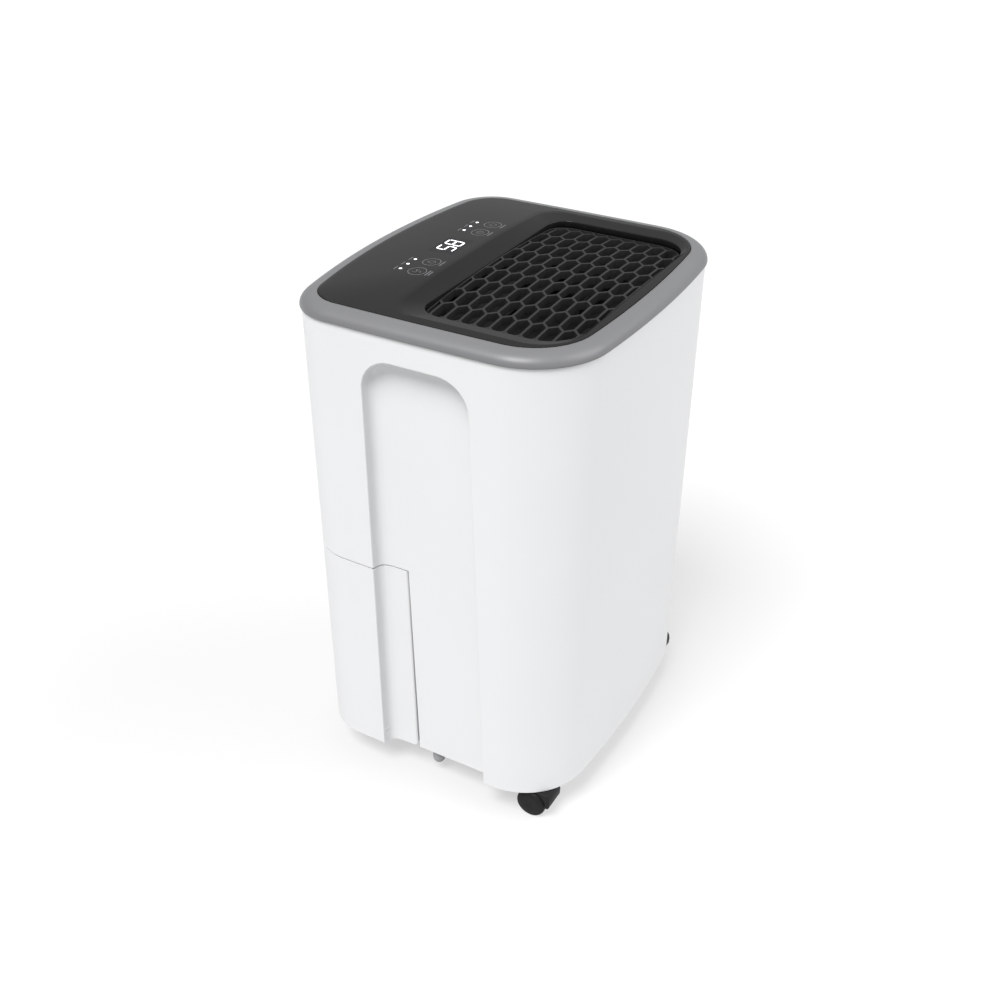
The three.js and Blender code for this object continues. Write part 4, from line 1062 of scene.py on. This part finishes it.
# The air intake. Its sections are (inset from the housing's rear surface, height).
intake = {"rim": 9.0, "slats": 17, "steps": 24, "front": 0.3, "back": 3.4, "round": 0.5, "halfRib": 2.5,
          "overlap": 1.0,
          "blade": [(0.9, -2.1), (0.5, -1.5), (0.6, -0.7), (5.2, 2.4), (6.0, 2.3), (5.6, 1.4)]}


def rearCurve(x, inset):
    # how far back the housing's rear surface is at x
    reach = plan["rearBow"] - inset
    return plan["halfDepth"] - plan["rearBow"] + sqrt(reach ** 2 - x ** 2)


def draftAt(y, z):
    return y * (1 - (plan["top"] - z) / (plan["top"] - plan["bottom"]) * plan["draftY"] / plan["halfDepth"])


def intakeLouvre():
    low, high = (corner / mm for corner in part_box("intake_grille"))
    rim, lap = intake["rim"], intake["overlap"]
    bm = bmesh.new()

    def sweptBar(x0, x1, section):
        rows = []
        for k in range(intake["steps"] + 1):
            x = x0 + (x1 - x0) * k / intake["steps"]
            rows.append([Vector((x, draftAt(rearCurve(x, inset), z), z)) for inset, z in section])
        laid = sweepRows(bm, rows)
        bm.faces.new(list(reversed(laid[0])))
        bm.faces.new(laid[-1])

    def frameBar(x0, x1, z0, z1):
        front, back, edge = intake["front"], intake["back"], intake["round"]
        sweptBar(x0, x1, [(front + edge, z0), (front, z0 + edge), (front, z1 - edge), (front + edge, z1),
                          (back, z1), (back, z0)])

    frameBar(low.x, high.x, low.z, low.z + rim)
    frameBar(low.x, high.x, high.z - rim, high.z)
    for x0, x1 in ((low.x, low.x + rim), (-intake["halfRib"], intake["halfRib"]), (high.x - rim, high.x)):
        frameBar(x0, x1, low.z + rim - lap, high.z - rim + lap)
    pitch = (high.z - low.z - 2 * rim) / intake["slats"]
    for k in range(intake["slats"]):
        z = low.z + rim + pitch * (k + 0.5)
        blade = [(inset, z + up) for inset, up in intake["blade"]]
        sweptBar(low.x + rim - lap, high.x - rim + lap, blade)
    bmesh.ops.recalc_face_normals(bm, faces=bm.faces)
    finished(pieceFrom(bm, "intakeLouvre", 40), "white", "white_plastic", "intake", "intake_grille")
    print("intake done")


screw = {"places": ((-84, 476), (84, 476), (-62, 259), (62, 259)), "lean": 0.55, "counts": (8, 40, 20),
         "profile": [(0, 1.1), (1.6, 1.05), (2.9, 0.7), (3.5, 0.1), (3.5, -1.4), (0, -1.4)]}


def screws():
    # pan-head screws on the back of the housing
    rear = [p for p in planLoop(0, screw["counts"]) if p.y > 0]
    for number, (x, z) in enumerate(screw["places"], 1):
        y = draftAt(min(rear, key=lambda p: abs(p.x - x)).y, z)
        away = Vector((screw["lean"] * (1 if x > 0 else -1), 1, 0)).normalized()
        head = turned(screw["profile"], "screw_%d" % number, (0, 0, 0), 24)
        facing = away.to_track_quat("Z", "Y").to_matrix().to_4x4()
        head.data.transform(Matrix.Translation(Vector((x, y, z)) * mm) @ facing)
        finished(head, "steel", "steel", "cabinet")
    print("screws done")


# The finish of every piece that the frame brings itself.
frameLooks = {
    "inner": ("bulkhead", "drip_tray"),
    "duct": ("fan_scroll",),
    "dark": ("base_pan", "top_deck", "filter_frame", "fan_impeller", "float_switch", "display_module"),
    "white": ("tank_lid", "float_bracket", "tank_float", "humidity_sensor"),
    "grey": ("tank_handle", "hose_outlet"),
    "blackRubber": ("hose_cap", "cord_gland", *("compressor_grommet_%d" % k for k in (1, 2, 3))),
    "copper": ("evaporator_coil", "condenser_coil", "suction_pipe", "discharge_pipe", "capillary_tube"),
    "aluminium": ("evaporator_fins", "condenser_fins", "run_capacitor"),
    "steel": ("fan_shaft", "fan_motor", "motor_bracket", "capacitor_clip",
              *("caster_axle_" + corner for corner in corners)),
    "paint": ("compressor", "accumulator"),
    "circuit": ("control_board",),
    "cloth": ("filter_mesh",),
}


def frameFinishes():
    for finish, names in frameLooks.items():
        for name in names:
            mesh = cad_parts[name].data
            mesh.materials.clear()
            mesh.materials.append(finishes[finish])
    print("frame finishes done")


finishes = {
    "white": plastic("whitePlastic"), "grey": plastic("greyTrim"), "grille": plastic("darkGrain"),
    "dark": plastic("darkGrain"), "nylon": plastic("casterNylon"), "inner": plastic("innerPlastic"),
    "duct": plastic("ductBlack"), "paint": plastic("blackPaint"), "greyRubber": plastic("greyRubber"),
    "blackRubber": plastic("blackRubber"), "gloss": panelGloss(), "circuit": circuitGreen(),
    "cloth": filterCloth(), "copper": metal("copperTube"), "aluminium": metal("aluminiumFin"),
    "steel": metal("zincSteel"), "ink": inkPrint("panelInk"), "window": inkPrint("smokedWindow"),
    "glow": lampGlow("whiteGlow"),
}
addCamera()
addStudio()
housingShell()
tankShell()
trimRing()
panelSkin()
honeycomb()
outletDuct()
panelMarks()
displayDigits()
for corner in corners:
    casterSet(corner)
print("casters done")
for side in ("left", "right"):
    stopFoot(side)
print("stop feet done")
intakeLouvre()
screws()
frameFinishes()
